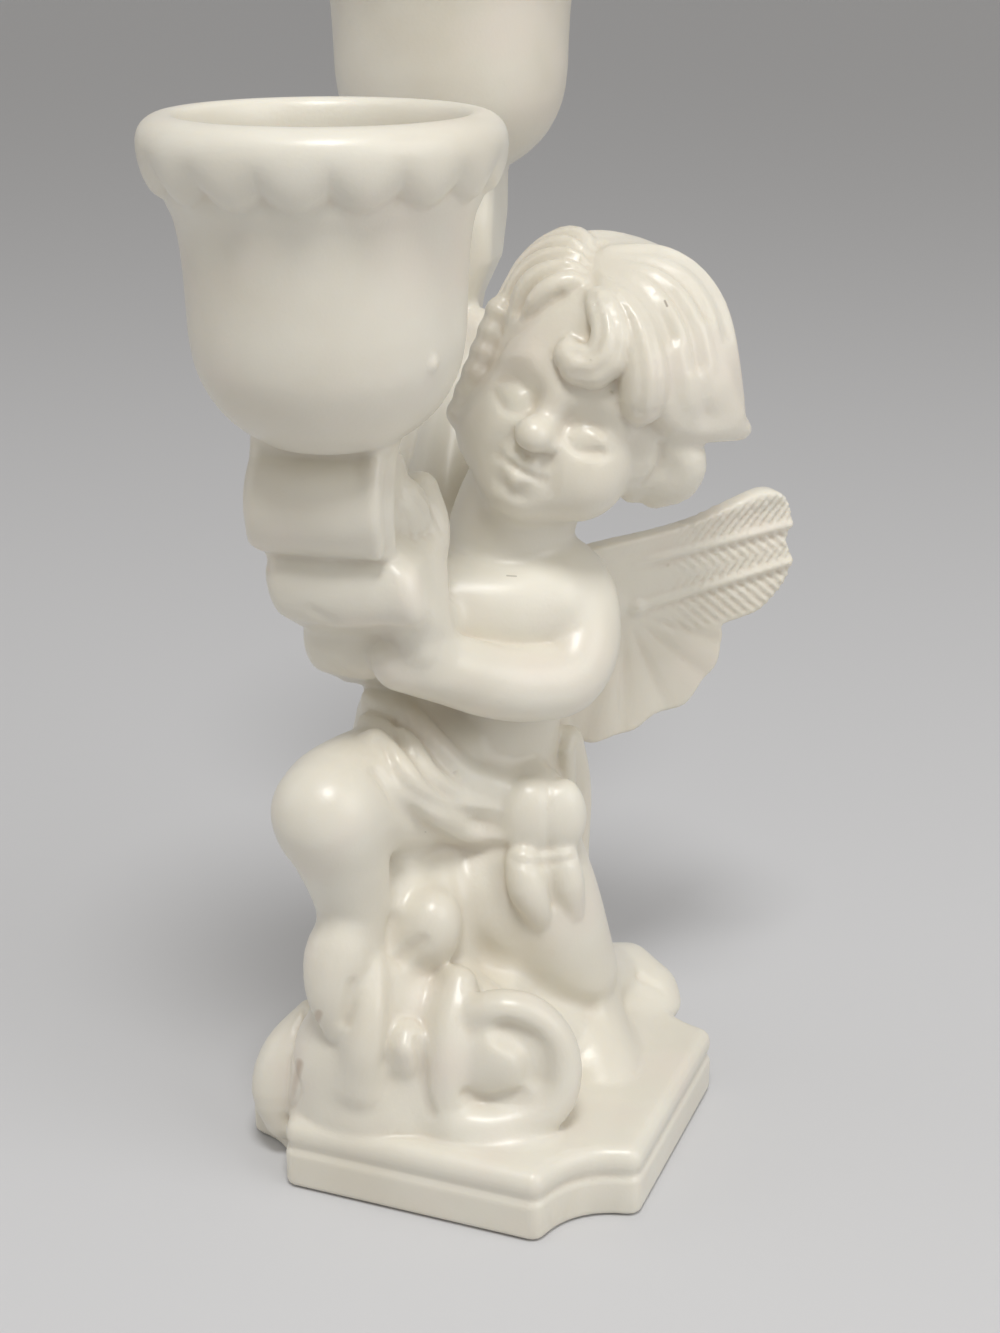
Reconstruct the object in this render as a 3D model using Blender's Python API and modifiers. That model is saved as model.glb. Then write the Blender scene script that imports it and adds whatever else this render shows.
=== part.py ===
"""Candle holder with a cherub, cast as one piece of white porcelain.

A kneeling, winged child figure stands on a scooped plinth and holds a broad
scroll branch that carries two candle cups, the rear one higher than the front
one. Frame: origin under the middle of the plinth, +Z up, plinth front at -Y.
All sizes below are in millimetres.
"""

import math

import bmesh
import bpy
from mathutils import Euler, Matrix, Vector

MM = 0.001

# Plinth
PLINTH_WIDTH = 81.0
PLINTH_DEPTH = 79.0
CORNER_SCOOP_RADIUS = 14.2
CORNER_ROUNDING = 3.0
LOWER_BAND_HEIGHT = 7.6
GROOVE_HEIGHT = 1.0
GROOVE_DEPTH = 0.7
UPPER_MOULDING_HEIGHT = 5.4
PLINTH_HEIGHT = LOWER_BAND_HEIGHT + GROOVE_HEIGHT + UPPER_MOULDING_HEIGHT

# Candle cups
CUP_HEIGHT = 55.0
CUP_BODY_RADIUS = 23.2
CUP_LIP_RADIUS = 30.0
CUP_LIP_THICKNESS = 6.4
CUP_WALL = 3.2
CUP_FLOOR = 5.0
CUP_BOTTOM_ROUNDING = 16.0
LIP_SCALLOPS = 16
SCALLOP_DEPTH = 1.6

# Where the cups stand: their axes in plan and the height of their undersides
FRONT_CUP_X = -15.0
FRONT_CUP_Y = -32.4
FRONT_CUP_RISE = 131.2
REAR_CUP_X = -28.4
REAR_CUP_Y = 54.2
REAR_CUP_RISE = 166.2

# Scroll branch between the cups
BRANCH_WIDTH = 24.6
BRANCH_EDGE_ROUNDING = 2.0
SEAT_DEPTH = 5.0

# Figure: heights are above the top of the plinth
HEAD_CENTRE = (16.0, 19.6, 138.6)
HEAD_TURN = (-16.5, 25.0, 0.5)
SKULL_RADIUS = 21.5
CHEST_RADIUS = 16.0
BELLY_RADIUS = 15.0
PELVIS_RADIUS = 17.0
NECK_RADIUS = 9.6
UPPER_ARM_RADIUS = 8.6
WRIST_RADIUS = 5.8
THIGH_RADIUS = 13.5
KNEE_RADIUS = 10.4
CALF_RADIUS = 8.6
ANKLE_RADIUS = 6.4

# Wings: the directions in which they spread, in degrees from +X, and where they leave the back
LEFT_WING_HEADING = 43.0
LEFT_WING_ROOT = (12.0, 28.0, 88.0)
RIGHT_WING_HEADING = 120.0
RIGHT_WING_ROOT = (-4.0, 30.0, 88.0)
WING_SPAN = 44.0
WING_THICKNESS = 2.2
WING_ROOT_THICKNESS = 6.0
FEATHER_RIB = 1.2

# Surface resolution
HEAD_VOXEL = 0.8
HEAD_TRIANGLES = 2280
HEAD_SMOOTHING = 7
BODY_VOXEL = 1.1
BODY_TRIANGLES = 3000
BODY_SMOOTHING = 3
WING_VOXEL = 0.7
WING_TRIANGLES = 480
WING_SMOOTHING = 1
LATHE_STEPS = LIP_SCALLOPS * 3

PORCELAIN_COLOUR = (0.86, 0.84, 0.77, 1.0)


def above_plinth(x, y, z):
    """A point given in millimetres, with its height measured from the top of the plinth."""
    return Vector((x, y, z + PLINTH_HEIGHT)) * MM


def make_collection(name, hidden=False):
    collection = bpy.data.collections.new(name)
    bpy.context.scene.collection.children.link(collection)
    collection.hide_render = hidden
    return collection


def porcelain():
    material = bpy.data.materials.new("white_porcelain")
    material.use_nodes = True
    shader = material.node_tree.nodes["Principled BSDF"]
    shader.inputs["Base Color"].default_value = PORCELAIN_COLOUR
    shader.inputs["Roughness"].default_value = 0.32
    shader.inputs["Metallic"].default_value = 0.0
    return material


def keep_mesh(mesh, name, matrix=None):
    """Wraps a mesh in an object of the shaping collection."""
    item = bpy.data.objects.new(name, mesh)
    if matrix is not None:
        mesh.transform(matrix)
    mesh.shade_smooth()
    shaping.objects.link(item)
    return item


def ball(centre, radii, turn=(0.0, 0.0, 0.0), frame=None):
    """An ellipsoid. Its centre and radii are in millimetres, in the given frame."""
    form = bmesh.new()
    bmesh.ops.create_uvsphere(form, u_segments=24, v_segments=14, radius=1.0)
    mesh = bpy.data.meshes.new("ball")
    form.to_mesh(mesh)
    form.free()
    angles = Euler([math.radians(value) for value in turn])
    sizes = radii if isinstance(radii, tuple) else (radii, radii, radii)
    stretch = Matrix.Diagonal(Vector(sizes) * MM).to_4x4()
    base = frame if frame is not None else Matrix.Translation(above_plinth(0, 0, 0))
    place = base @ Matrix.Translation(Vector(centre) * MM)
    return keep_mesh(mesh, "ball", place @ angles.to_matrix().to_4x4() @ stretch)


def solid_from_curve(curve, matrix):
    """Turns a curve datablock into a closed mesh object and drops the curve."""
    guide = bpy.data.objects.new("guide", curve)
    shaping.objects.link(guide)
    bpy.context.view_layer.update()
    graph = bpy.context.evaluated_depsgraph_get()
    mesh = bpy.data.meshes.new_from_object(guide.evaluated_get(graph))
    bpy.data.objects.remove(guide)
    form = bmesh.new()
    form.from_mesh(mesh)
    bmesh.ops.remove_doubles(form, verts=form.verts, dist=0.00001)
    bmesh.ops.recalc_face_normals(form, faces=form.faces)
    form.to_mesh(mesh)
    form.free()
    return keep_mesh(mesh, "solid", matrix)


def limb(points, radii, frame=None):
    """A tapered round form through points, in millimetres, with rounded ends."""
    curve = bpy.data.curves.new("limb", "CURVE")
    curve.dimensions = "3D"
    curve.bevel_depth = MM
    curve.bevel_resolution = 3
    curve.resolution_u = 6
    curve.use_fill_caps = True
    spline = curve.splines.new("NURBS")
    spline.points.add(len(points) - 1)
    spline.order_u = 3
    spline.use_endpoint_u = True
    for knot, point, radius in zip(spline.points, points, radii):
        knot.co = (*(Vector(point) * MM), 1.0)
        knot.radius = radius
    base = frame if frame is not None else Matrix.Translation(above_plinth(0, 0, 0))
    body = solid_from_curve(curve, base)
    ends = [ball(points[0], radii[0], frame=frame), ball(points[-1], radii[-1], frame=frame)]
    return [body] + ends


def slab(outline, thickness, rounding, matrix):
    """A flat outline in millimetres, extruded to a thickness with rounded edges."""
    curve = bpy.data.curves.new("slab", "CURVE")
    curve.dimensions = "2D"
    curve.fill_mode = "BOTH"
    curve.extrude = (thickness / 2 - rounding) * MM
    curve.bevel_depth = rounding * MM
    curve.bevel_resolution = 2
    curve.offset = -rounding * MM
    spline = curve.splines.new("POLY")
    spline.points.add(len(outline) - 1)
    spline.use_cyclic_u = True
    for knot, (across, along) in zip(spline.points, outline):
        knot.co = (across * MM, along * MM, 0.0, 1.0)
    return solid_from_curve(curve, matrix)


def scooped_outline(inset):
    """A rectangle whose four corners are scooped out by quarter circles."""
    half_width = PLINTH_WIDTH / 2 - inset
    half_depth = PLINTH_DEPTH / 2 - inset
    steps = 7
    outline = []
    for quarter in range(4):
        side_x = (1, -1, -1, 1)[quarter]
        side_y = (1, 1, -1, -1)[quarter]
        corner = Vector((side_x * PLINTH_WIDTH / 2, side_y * PLINTH_DEPTH / 2))
        arc = []
        for step in range(steps + 1):
            angle = math.radians(90.0 * step / steps)
            reach = CORNER_SCOOP_RADIUS + inset
            point = corner - Vector((side_x * math.cos(angle), side_y * math.sin(angle))) * reach
            point.x = max(-half_width, min(half_width, point.x))
            point.y = max(-half_depth, min(half_depth, point.y))
            arc.append((point.x, point.y))
        # Even quarters meet the outline at the top or bottom edge last.
        outline += arc[::-1] if quarter % 2 == 0 else arc
    return soften_corners(outline, CORNER_ROUNDING)


def soften_corners(outline, radius):
    """Replaces each sharp corner of a closed outline by a short curve of about the given radius."""
    softened = []
    count = len(outline)
    for index in range(count):
        here = Vector(outline[index])
        before = (Vector(outline[index - 1]) - here).normalized()
        after = (Vector(outline[(index + 1) % count]) - here).normalized()
        if before.dot(after) < -0.5:
            softened.append(tuple(here))
            continue
        softened.append(tuple(here + before * radius))
        softened.append(tuple(here + (before + after) * radius * 0.29))
        softened.append(tuple(here + after * radius))
    return softened


def plinth():
    """Lower band, groove and rounded upper moulding, overlapping so that they join."""
    overlap = 0.3
    layers = (
        (0.0, LOWER_BAND_HEIGHT, 0.0, 0.8),
        (LOWER_BAND_HEIGHT - overlap, GROOVE_HEIGHT + 2 * overlap, GROOVE_DEPTH, 0.0),
        (LOWER_BAND_HEIGHT + GROOVE_HEIGHT, UPPER_MOULDING_HEIGHT, 0.0, 1.6),
    )
    solids = []
    for foot, thickness, inset, rounding in layers:
        middle = Matrix.Translation((0.0, 0.0, (foot + thickness / 2) * MM))
        solids.append(slab(scooped_outline(inset), thickness, rounding, middle))
    return solids


def cup_profile():
    """Half section of a cup from the middle of its well, over the lip, to its underside."""
    inner = CUP_BODY_RADIUS - CUP_WALL
    well_rounding = CUP_BOTTOM_ROUNDING - CUP_WALL
    points = [(0.0, CUP_FLOOR)]
    for step in range(4):
        angle = math.radians(-90 + 90 * step / 3)
        across = inner - well_rounding / 2 + well_rounding / 2 * math.cos(angle)
        rise = CUP_FLOOR + well_rounding / 2 + well_rounding / 2 * math.sin(angle)
        points.append((across, rise))
    lip_radius = CUP_LIP_THICKNESS / 2
    lip_centre = (CUP_LIP_RADIUS - lip_radius, CUP_HEIGHT - lip_radius)
    points.append((inner + 1.0, CUP_HEIGHT - CUP_LIP_THICKNESS * 2.2))
    for degrees in (170, 130, 90, 45, 0, -45, -85):
        angle = math.radians(degrees)
        across = lip_centre[0] + lip_radius * math.cos(angle)
        rise = lip_centre[1] + lip_radius * math.sin(angle)
        if degrees < -40:
            rise -= CUP_LIP_THICKNESS * 0.45
        points.append((across, rise))
    neck_rise = CUP_HEIGHT - CUP_LIP_THICKNESS * 2.0
    points.append((CUP_BODY_RADIUS + 1.6, neck_rise))
    points.append((CUP_BODY_RADIUS, CUP_HEIGHT * 0.55))
    for step in range(5):
        angle = math.radians(-80.0 * step / 4)
        across = CUP_BODY_RADIUS - CUP_BOTTOM_ROUNDING * (1 - math.cos(angle))
        rise = CUP_BOTTOM_ROUNDING * (1 + math.sin(angle))
        points.append((across, rise))
    points.append((0.0, 0.0))
    return points


def cup(name, x, y, rise):
    """A bell-shaped cup with a rolled lip whose lower edge is scalloped."""
    profile = cup_profile()
    mesh = bpy.data.meshes.new(name)
    rows = [(across * MM, 0.0, height * MM) for across, height in profile]
    mesh.from_pydata(rows, [(row, row + 1) for row in range(len(rows) - 1)], [])
    item = keep_mesh(mesh, name)
    turn = item.modifiers.new("turn", "SCREW")
    turn.steps = LATHE_STEPS
    turn.render_steps = LATHE_STEPS
    turn.use_merge_vertices = True
    turn.merge_threshold = 0.00001
    bpy.context.view_layer.update()
    graph = bpy.context.evaluated_depsgraph_get()
    turned = bpy.data.meshes.new_from_object(item.evaluated_get(graph))
    bpy.data.objects.remove(item)
    form = bmesh.new()
    form.from_mesh(turned)
    bmesh.ops.remove_doubles(form, verts=form.verts, dist=0.00001)
    bmesh.ops.recalc_face_normals(form, faces=form.faces)
    scallop(form)
    form.to_mesh(turned)
    form.free()
    return keep_mesh(turned, name, Matrix.Translation(above_plinth(x, y, rise)))


def scallop(form):
    """Hangs the lower edge of the lip in small swags, LIP_SCALLOPS of them round the cup."""
    lowest = (CUP_HEIGHT - CUP_LIP_THICKNESS * 1.7) * MM
    highest = (CUP_HEIGHT - CUP_LIP_THICKNESS * 0.7) * MM
    for vertex in form.verts:
        reach = math.hypot(vertex.co.x, vertex.co.y)
        if lowest < vertex.co.z < highest and reach > (CUP_BODY_RADIUS + 1.8) * MM:
            angle = math.atan2(vertex.co.y, vertex.co.x)
            wave = abs(math.sin(angle * LIP_SCALLOPS / 2))
            vertex.co.z += SCALLOP_DEPTH * (0.5 - wave) * MM


def branch_frame():
    """The upright plane through both cup axes: X runs from the front cup to the rear cup."""
    start = Vector((FRONT_CUP_X, FRONT_CUP_Y, 0.0))
    run = Vector((REAR_CUP_X, REAR_CUP_Y, 0.0)) - start
    along = run.normalized()
    up = Vector((0.0, 0.0, 1.0))
    side = along.cross(up)
    turn = Matrix((along, up, side)).transposed().to_4x4()
    origin = above_plinth(FRONT_CUP_X, FRONT_CUP_Y, 0.0)
    return Matrix.Translation(origin) @ turn, run.length


def arc_points(centre, radius, start, end, steps):
    """Points along a circular arc, with its angles in degrees."""
    points = []
    for step in range(steps + 1):
        angle = math.radians(start + (end - start) * step / steps)
        points.append((centre[0] + radius * math.cos(angle), centre[1] + radius * math.sin(angle)))
    return points


def branch():
    """The broad scroll: three rolls under the front cup, a low bight, and the tall rear arm."""
    frame, run = branch_frame()
    front_seat = FRONT_CUP_RISE + SEAT_DEPTH
    rear_seat = REAR_CUP_RISE + SEAT_DEPTH
    outline = [(9.0, front_seat), (-2.0, front_seat)]
    outline += arc_points((2.0, front_seat - 15.0), 10.4, 125, 235, 5)
    outline += arc_points((6.0, front_seat - 30.5), 9.2, 140, 218, 4)
    outline += arc_points((19.5, front_seat - 44.0), 9.8, 172, 225, 3)
    outline += [(31.0, front_seat - 60.0), (42.0, front_seat - 63.0), (60.0, front_seat - 52.0)]
    outline += [(run - 9.0, front_seat - 20.0), (run - 1.0, front_seat + 6.0)]
    outline += [(run + 8.0, rear_seat - 14.0), (run + 9.0, rear_seat)]
    outline += [(run - 9.0, rear_seat), (run - 12.0, rear_seat - 14.0), (run - 13.0, rear_seat - 32.0)]
    outline += [(run - 24.0, front_seat - 22.0), (42.0, front_seat - 42.0), (28.0, front_seat - 44.0)]
    outline += [(17.0, front_seat - 34.0), (14.0, front_seat - 24.0)]
    outline += arc_points((11.0, front_seat - 14.0), 6.5, -60, 80, 4)
    return slab(outline[::-1], BRANCH_WIDTH, BRANCH_EDGE_ROUNDING, frame)


def volute():
    """The curled leaf on the side of the branch, beside the left hand."""
    frame, _ = branch_frame()
    edge = BRANCH_WIDTH / 2
    centre_z = FRONT_CUP_RISE - 13.0
    forms = [ball((13.0, centre_z, edge - 3.0), (5.0, 8.0, 4.2), frame=frame)]
    forms += limb([(6.5, centre_z + 9, edge), (8.5, centre_z - 3, edge), (12, centre_z - 12, edge)],
                  [1.6, 1.6, 1.4], frame)
    forms += limb([(1.0, centre_z - 15, edge - 1.5), (7.0, centre_z - 17, edge - 1.0)], [3.2, 3.0], frame)
    return forms


def head_frame():
    angles = Euler([math.radians(value) for value in HEAD_TURN])
    return Matrix.Translation(above_plinth(*HEAD_CENTRE)) @ angles.to_matrix().to_4x4()


def face():
    """A plain round child's face in the head's own frame: X to its left, -Y forward, Z up."""
    frame = head_frame()
    size = SKULL_RADIUS
    forms = [
        ball((0, 0, 0), size, frame=frame),
        ball((0, -5.5, -13.5), (size * 0.75, size * 0.66, size * 0.88), frame=frame),
        ball((0, -13.0, -28.5), (6.4, 5.0, 5.0), frame=frame),
        ball((0, -19.5, -13.5), (2.2, 2.4, 4.4), frame=frame),
        ball((0, -21.8, -17.6), (3.1, 3.0, 2.7), frame=frame),
        ball((0, -19.0, -23.2), (4.2, 2.2, 1.3), frame=frame),
        ball((0, -18.0, -25.8), (3.4, 2.2, 1.4), frame=frame),
    ]
    for side in (-1, 1):
        forms.append(ball((side * 7.6, -9.6, -20.0), (8.6, 8.0, 8.8), frame=frame))
        forms.append(ball((side * 7.0, -17.0, -12.0), (4.0, 2.2, 2.2), frame=frame))
        forms.append(ball((side * 17.0, 2.0, -13.0), (2.6, 4.0, 5.0), frame=frame))
    return forms


def hair():
    """A cap of hair with locks combed out from a side parting."""
    frame = head_frame()
    cap = SKULL_RADIUS + 1.0
    forms = [ball((0, 2.0, 1.5), cap, frame=frame)]
    parting = Vector((-9.5, -13.0, 16.5))
    strands = 17
    for strand in range(strands):
        heading = math.radians(-28 + 236 * strand / (strands - 1))
        sweep = Vector((math.cos(heading), math.sin(heading), 0.0))
        path = []
        for reach, drop in ((0.35, 21.0), (0.8, 13.0), (1.0, 1.0), (0.9, -11.0), (0.78, -17.0)):
            spot = Vector((sweep.x * cap * reach, 1.5 + sweep.y * cap * reach, drop))
            path.append(spot.lerp(parting, 0.5) if reach < 0.5 else spot)
        forms += limb(path, [1.6, 2.8, 2.8, 2.6, 1.6], frame)
    locks = (
        ([(-9, -15, 15), (0.5, -21, 8), (4.5, -22.5, -1), (3.0, -22.5, -6), (-2.0, -21.5, -5)],
         [2.2, 3.4, 3.4, 3.2, 2.4]),
        ([(-6, -15, 16), (6, -19.5, 9), (10.5, -19.5, -2), (12.0, -17.0, -8)], [2.4, 3.4, 3.4, 1.8]),
        ([(2, -12, 20), (14, -14, 9), (18.5, -12, 0), (24, -10, -2), (29.5, -9, 2.0)],
         [3.0, 4.6, 4.6, 4.0, 1.6]),
        ([(18, -4, 0), (20.5, -5, -8), (21.5, -6, -15), (24.5, -8, -13)], [4.2, 4.4, 3.4, 1.8]),
        ([(15.5, -10, -4), (16.5, -9, -12), (17.0, -9, -18)], [3.0, 3.0, 1.6]),
        ([(-11, -14, 14), (-17.0, -12, 6), (-18.6, -9.5, -6), (-17.6, -8, -16), (-16.0, -8, -25)],
         [2.6, 3.2, 2.8, 2.4, 1.4]),
        ([(-9, -16, 14), (-13, -17, 8), (-16.0, -14.5, 2)], [2.4, 3.0, 1.8]),
    )
    for path, radii in locks:
        forms += limb(path, radii, frame)
    return forms


def torso():
    chest = CHEST_RADIUS
    belly = BELLY_RADIUS
    pelvis = PELVIS_RADIUS
    forms = limb([(2.0, 14.5, 97.0), (5.0, 15.5, 108.0), (9.0, 17.0, 120.0)],
                 [NECK_RADIUS + 1.5, NECK_RADIUS, NECK_RADIUS])
    forms += limb([(-12.0, 17.0, 93.0), (0.0, 16.0, 95.0), (12.5, 15.5, 93.0)], [9.0, 9.5, 9.0])
    forms += [
        ball((0.5, 16.0, 91.0), (chest, chest * 0.76, chest), (0, 8, -22)),
        ball((-2.0, 15.5, 79.0), (chest * 0.95, chest * 0.78, chest)),
        ball((-3.0, 13.5, 66.0), (belly, belly * 0.86, belly * 1.1)),
        ball((-5.0, 15.0, 52.0), (pelvis, pelvis * 0.88, pelvis * 0.8)),
        ball((-3.0, 17.0, 36.0), (pelvis * 0.95, pelvis * 0.8, pelvis)),
        ball((-16.5, 4.0, 71.0), (belly * 0.6, belly * 0.6, belly * 0.8)),
    ]
    return forms


def arms():
    arm = UPPER_ARM_RADIUS
    wrist = WRIST_RADIUS
    left = [(12.5, 15.5, 92.5), (19.0, 10.0, 88.5), (19.5, 0.5, 81.0), (9.0, -10.0, 82.0), (-1.5, -20.0, 88.5)]
    forms = limb(left, [arm, arm, arm - 0.6, wrist + 1.2, wrist])
    forms.append(ball((-3.0, -22.5, 92.0), (4.6, 5.6, 7.2), (10, 0, 0)))
    right = [(-10.0, 18.0, 94.5), (-17.0, 22.0, 104.0), (-19.0, 31.0, 116.0), (-19.0, 41.0, 130.0)]
    forms += limb(right, [arm, arm - 0.6, wrist + 1.4, wrist])
    forms.append(ball((-18.0, 43.5, 134.0), (6.5, 5.8, 7.0)))
    return forms


def legs():
    thigh = THIGH_RADIUS
    knee = KNEE_RADIUS
    calf = CALF_RADIUS
    ankle = ANKLE_RADIUS
    forms = limb([(-9.0, 9.0, 53.0), (-14.5, -10.0, 58.0), (-18.5, -28.0, 61.5)], [thigh, thigh, knee])
    forms += limb([(-19.0, -29.0, 60.0), (-18.5, -25.0, 46.0), (-18.0, -20.0, 30.0), (-18.0, -22.0, 14.0)],
                  [knee, calf, calf - 1.0, ankle])
    forms += limb([(2.0, 16.5, 44.0), (9.0, 12.0, 29.0), (15.5, 7.5, 15.0)], [thigh, thigh - 1.0, knee])
    forms += limb([(15.5, 6.0, 11.0), (17.0, 24.0, 6.5), (18.0, 37.0, 4.0)], [knee - 1.0, calf - 1.0, ankle])
    forms.append(ball((19.0, 35.0, 1.5), (7.0, 5.0, 6.0)))
    return forms


def drapery():
    """The sash round the hips, its knot, and the cloth that hangs behind."""
    folds = (
        [(-21.0, -2.0, 69.5), (-9.5, -9.0, 64.5), (-1.5, -8.5, 59.0), (8.0, -2.5, 54.5)],
        [(-22.5, -4.5, 67.0), (-11.0, -11.5, 60.0), (-3.5, -10.5, 54.5), (8.0, -3.5, 49.5)],
        [(-24.0, -6.5, 65.0), (-13.0, -13.0, 56.5), (-5.0, -12.0, 49.0), (7.0, -4.5, 44.0)],
    )
    forms = []
    for path in folds:
        forms += limb(path, [3.0, 3.8, 3.8, 3.2])
    forms.append(ball((-10.0, -5.0, 60.0), (12.0, 9.0, 9.0)))
    forms.append(ball((-1.0, -1.0, 53.0), (11.0, 9.0, 9.0)))
    forms.append(ball((11.5, -1.5, 53.0), (5.6, 5.4, 7.8), (0, 0, 15)))
    forms += limb([(10.5, -3.0, 46.0), (11.0, -3.5, 37.0), (12.0, -2.0, 29.0)], [4.0, 4.4, 2.4])
    forms += limb([(15.6, 2.0, 45.0), (16.4, 2.2, 38.0), (16.4, 3.5, 31.0)], [3.2, 3.6, 2.2])
    for fold in range(3):
        shift = 5.0 * fold
        forms += limb([(9.5 - shift, 19.0 + shift * 0.6, 64.0), (8.5 - shift, 19.0 + shift * 0.6, 46.0),
                       (9.5 - shift, 20.0 + shift * 0.7, 22.0), (11.0 - shift, 22.0 + shift * 0.8, 0.0)],
                      [4.4, 6.0, 6.4, 7.0])
    return forms


def rocaille():
    """Shell scrolls heaped between the legs and the plinth, with cloth filling in behind."""
    forms = [
        ball((-5.0, 3.0, 8.0), (25.0, 24.0, 19.0)),
        ball((-4.0, 14.0, 2.0), (27.0, 22.0, 13.0)),
        ball((-6.0, -4.0, 30.0), (17.0, 15.0, 26.0)),
        ball((-13.0, -15.0, 38.0), (9.0, 11.0, 16.0)),
        ball((-8.0, -17.0, 8.0), (22.0, 19.0, 15.0)),
        ball((-13.0, -23.0, 16.0), (11.0, 10.0, 17.0)),
        ball((-1.0, -22.0, 12.0), (12.0, 10.0, 15.0)),
        ball((12.0, -18.0, 8.0), (13.0, 12.0, 13.0)),
        ball((-17.5, -27.0, 34.0), (6.6, 6.2, 8.4)),
        ball((-11.5, -28.0, 20.0), (4.8, 5.4, 10.0), (0, -10, 0)),
        ball((-3.0, -19.0, 34.5), (6.4, 6.6, 8.6)),
        ball((-19.0, -27.0, 8.0), (8.0, 8.0, 14.0)),
        ball((-31.0, -25.0, 2.5), (8.0, 9.0, 12.0), (0, 24, 0)),
        ball((-27.0, -13.0, 4.0), (10.0, 13.0, 9.0)),
        ball((19.0, 30.0, -1.0), (12.0, 9.0, 5.0)),
        ball((22.0, 8.0, -1.0), (8.0, 16.0, 4.0)),
    ]
    forms += limb([(1.0, -25.0, 28.0), (1.5, -29.5, 18.0), (4.0, -31.5, 5.0)], [4.6, 5.0, 4.4])
    forms += limb([(-7.5, -30.0, 18.0), (-4.0, -32.0, 7.0)], [3.4, 3.0])
    ring = arc_points((0.0, 0.0), 9.4, 200, -130, 12)
    path = [(17.5 + across * 0.9, -24.0 + across * 0.34, 14.5 + rise * 1.15) for across, rise in ring]
    forms += limb(path, [3.8] * 4 + [4.4] * 5 + [3.6] * 4)
    forms.append(ball((12.5, -27.5, 12.0), (4.4, 4.0, 6.0)))
    return forms


def wing_outline():
    """The left wing's edge from its root out and round: distance from the root, then height."""
    long_feathers = [(-8.0, 9.0), (0.0, 11.5), (0.48, 14.2), (0.68, 16.7), (0.85, 19.2), (0.96, 16.5)]
    tips = [(1.0, 11.0), (0.98, 6.0), (1.0, -0.5), (0.97, -3.5), (0.84, -6.0), (0.65, -8.6), (0.66, -11.0)]
    short_feathers = [(0.61, -17.0), (0.5, -24.0), (0.29, -25.5), (0.14, -29.5), (-4.0, -29.0), (-8.0, -20.0)]
    outline = []
    for across, rise in long_feathers + tips + short_feathers:
        outline.append((across if across < -1 else across * WING_SPAN, rise))
    return outline


def wing(heading, root):
    """A thin upright plate with feather ribs, spreading from the back in the given direction."""
    along = Vector((math.cos(math.radians(heading)), math.sin(math.radians(heading)), 0.0))
    up = Vector((0.0, 0.0, 1.0))
    turn = Matrix((along, up, along.cross(up))).transposed().to_4x4()
    frame = Matrix.Translation(above_plinth(*root)) @ turn
    forms = [slab(wing_outline(), WING_THICKNESS, WING_THICKNESS * 0.3, frame)]
    face_side = WING_THICKNESS / 2
    for rib in range(6):
        slope = math.radians(20 - 20 * rib)
        reach = WING_SPAN * (0.86, 0.84, 0.66, 0.54, 0.48, 0.46)[rib]
        tip = (reach * math.cos(slope), -2 + reach * math.sin(slope), 0)
        for side in (face_side, -face_side):
            start = (0.0, -2.0, side)
            forms += limb([start, (tip[0], tip[1], side)], [FEATHER_RIB * 1.6, FEATHER_RIB], frame)
    forms += limb([(-10.0, -3.0, 0.0), (4.0, -1.0, 0.0)], [WING_ROOT_THICKNESS, 1.6], frame)
    return forms


def gather(parts, name):
    """Joins shapes into one mesh object, where they may still pass through each other."""
    form = bmesh.new()
    for part in parts:
        form.from_mesh(part.data)
        bpy.data.objects.remove(part)
    mesh = bpy.data.meshes.new(name)
    form.to_mesh(mesh)
    form.free()
    return keep_mesh(mesh, name)


def melt(parts, name, voxel, smoothing, triangles):
    """Fuses overlapping shapes into one soft surface with about the given number of triangles."""
    item = gather(parts, name)
    fuse = item.modifiers.new("fuse", "REMESH")
    fuse.mode = "VOXEL"
    fuse.voxel_size = voxel * MM
    soften = item.modifiers.new("soften", "SMOOTH")
    soften.factor = 0.5
    soften.iterations = round(smoothing)
    item.data.update()
    bpy.context.view_layer.update()
    graph = bpy.context.evaluated_depsgraph_get()
    dense = bpy.data.meshes.new_from_object(item.evaluated_get(graph))
    dense_triangles = sum(len(face.vertices) - 2 for face in dense.polygons)
    bpy.data.objects.remove(item)
    fused = keep_mesh(dense, name)
    thin = fused.modifiers.new("thin", "DECIMATE")
    thin.ratio = min(1.0, triangles / dense_triangles)
    return fused


def unite(item, other, name):
    """Adds a Boolean union and hides the piece that it takes in."""
    join = item.modifiers.new(name, "BOOLEAN")
    join.operation = "UNION"
    join.solver = "EXACT"
    join.object = other
    other.hide_render = True
    other.display_type = "WIRE"


for old in list(bpy.data.objects):
    bpy.data.objects.remove(old)
holder = make_collection("cherub_candle_holder")
shaping = make_collection("shaping", hidden=True)

lower = torso() + arms() + legs() + drapery() + rocaille() + [branch()] + volute()
body = melt(lower, "figure", BODY_VOXEL, BODY_SMOOTHING, BODY_TRIANGLES)
added = [
    melt(face() + hair(), "head", HEAD_VOXEL, HEAD_SMOOTHING, HEAD_TRIANGLES),
    melt(wing(LEFT_WING_HEADING, LEFT_WING_ROOT), "left_wing", WING_VOXEL, WING_SMOOTHING, WING_TRIANGLES),
    melt(wing(RIGHT_WING_HEADING, RIGHT_WING_ROOT), "right_wing", WING_VOXEL, WING_SMOOTHING, WING_TRIANGLES),
    cup("front_cup", FRONT_CUP_X, FRONT_CUP_Y, FRONT_CUP_RISE),
    cup("rear_cup", REAR_CUP_X, REAR_CUP_Y, REAR_CUP_RISE),
]
for number, piece in enumerate(plinth() + added):
    unite(body, piece, f"join_{number}")

shaping.objects.unlink(body)
holder.objects.link(body)
body.name = "cherub_candle_holder"
body.data.materials.append(porcelain())
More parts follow.
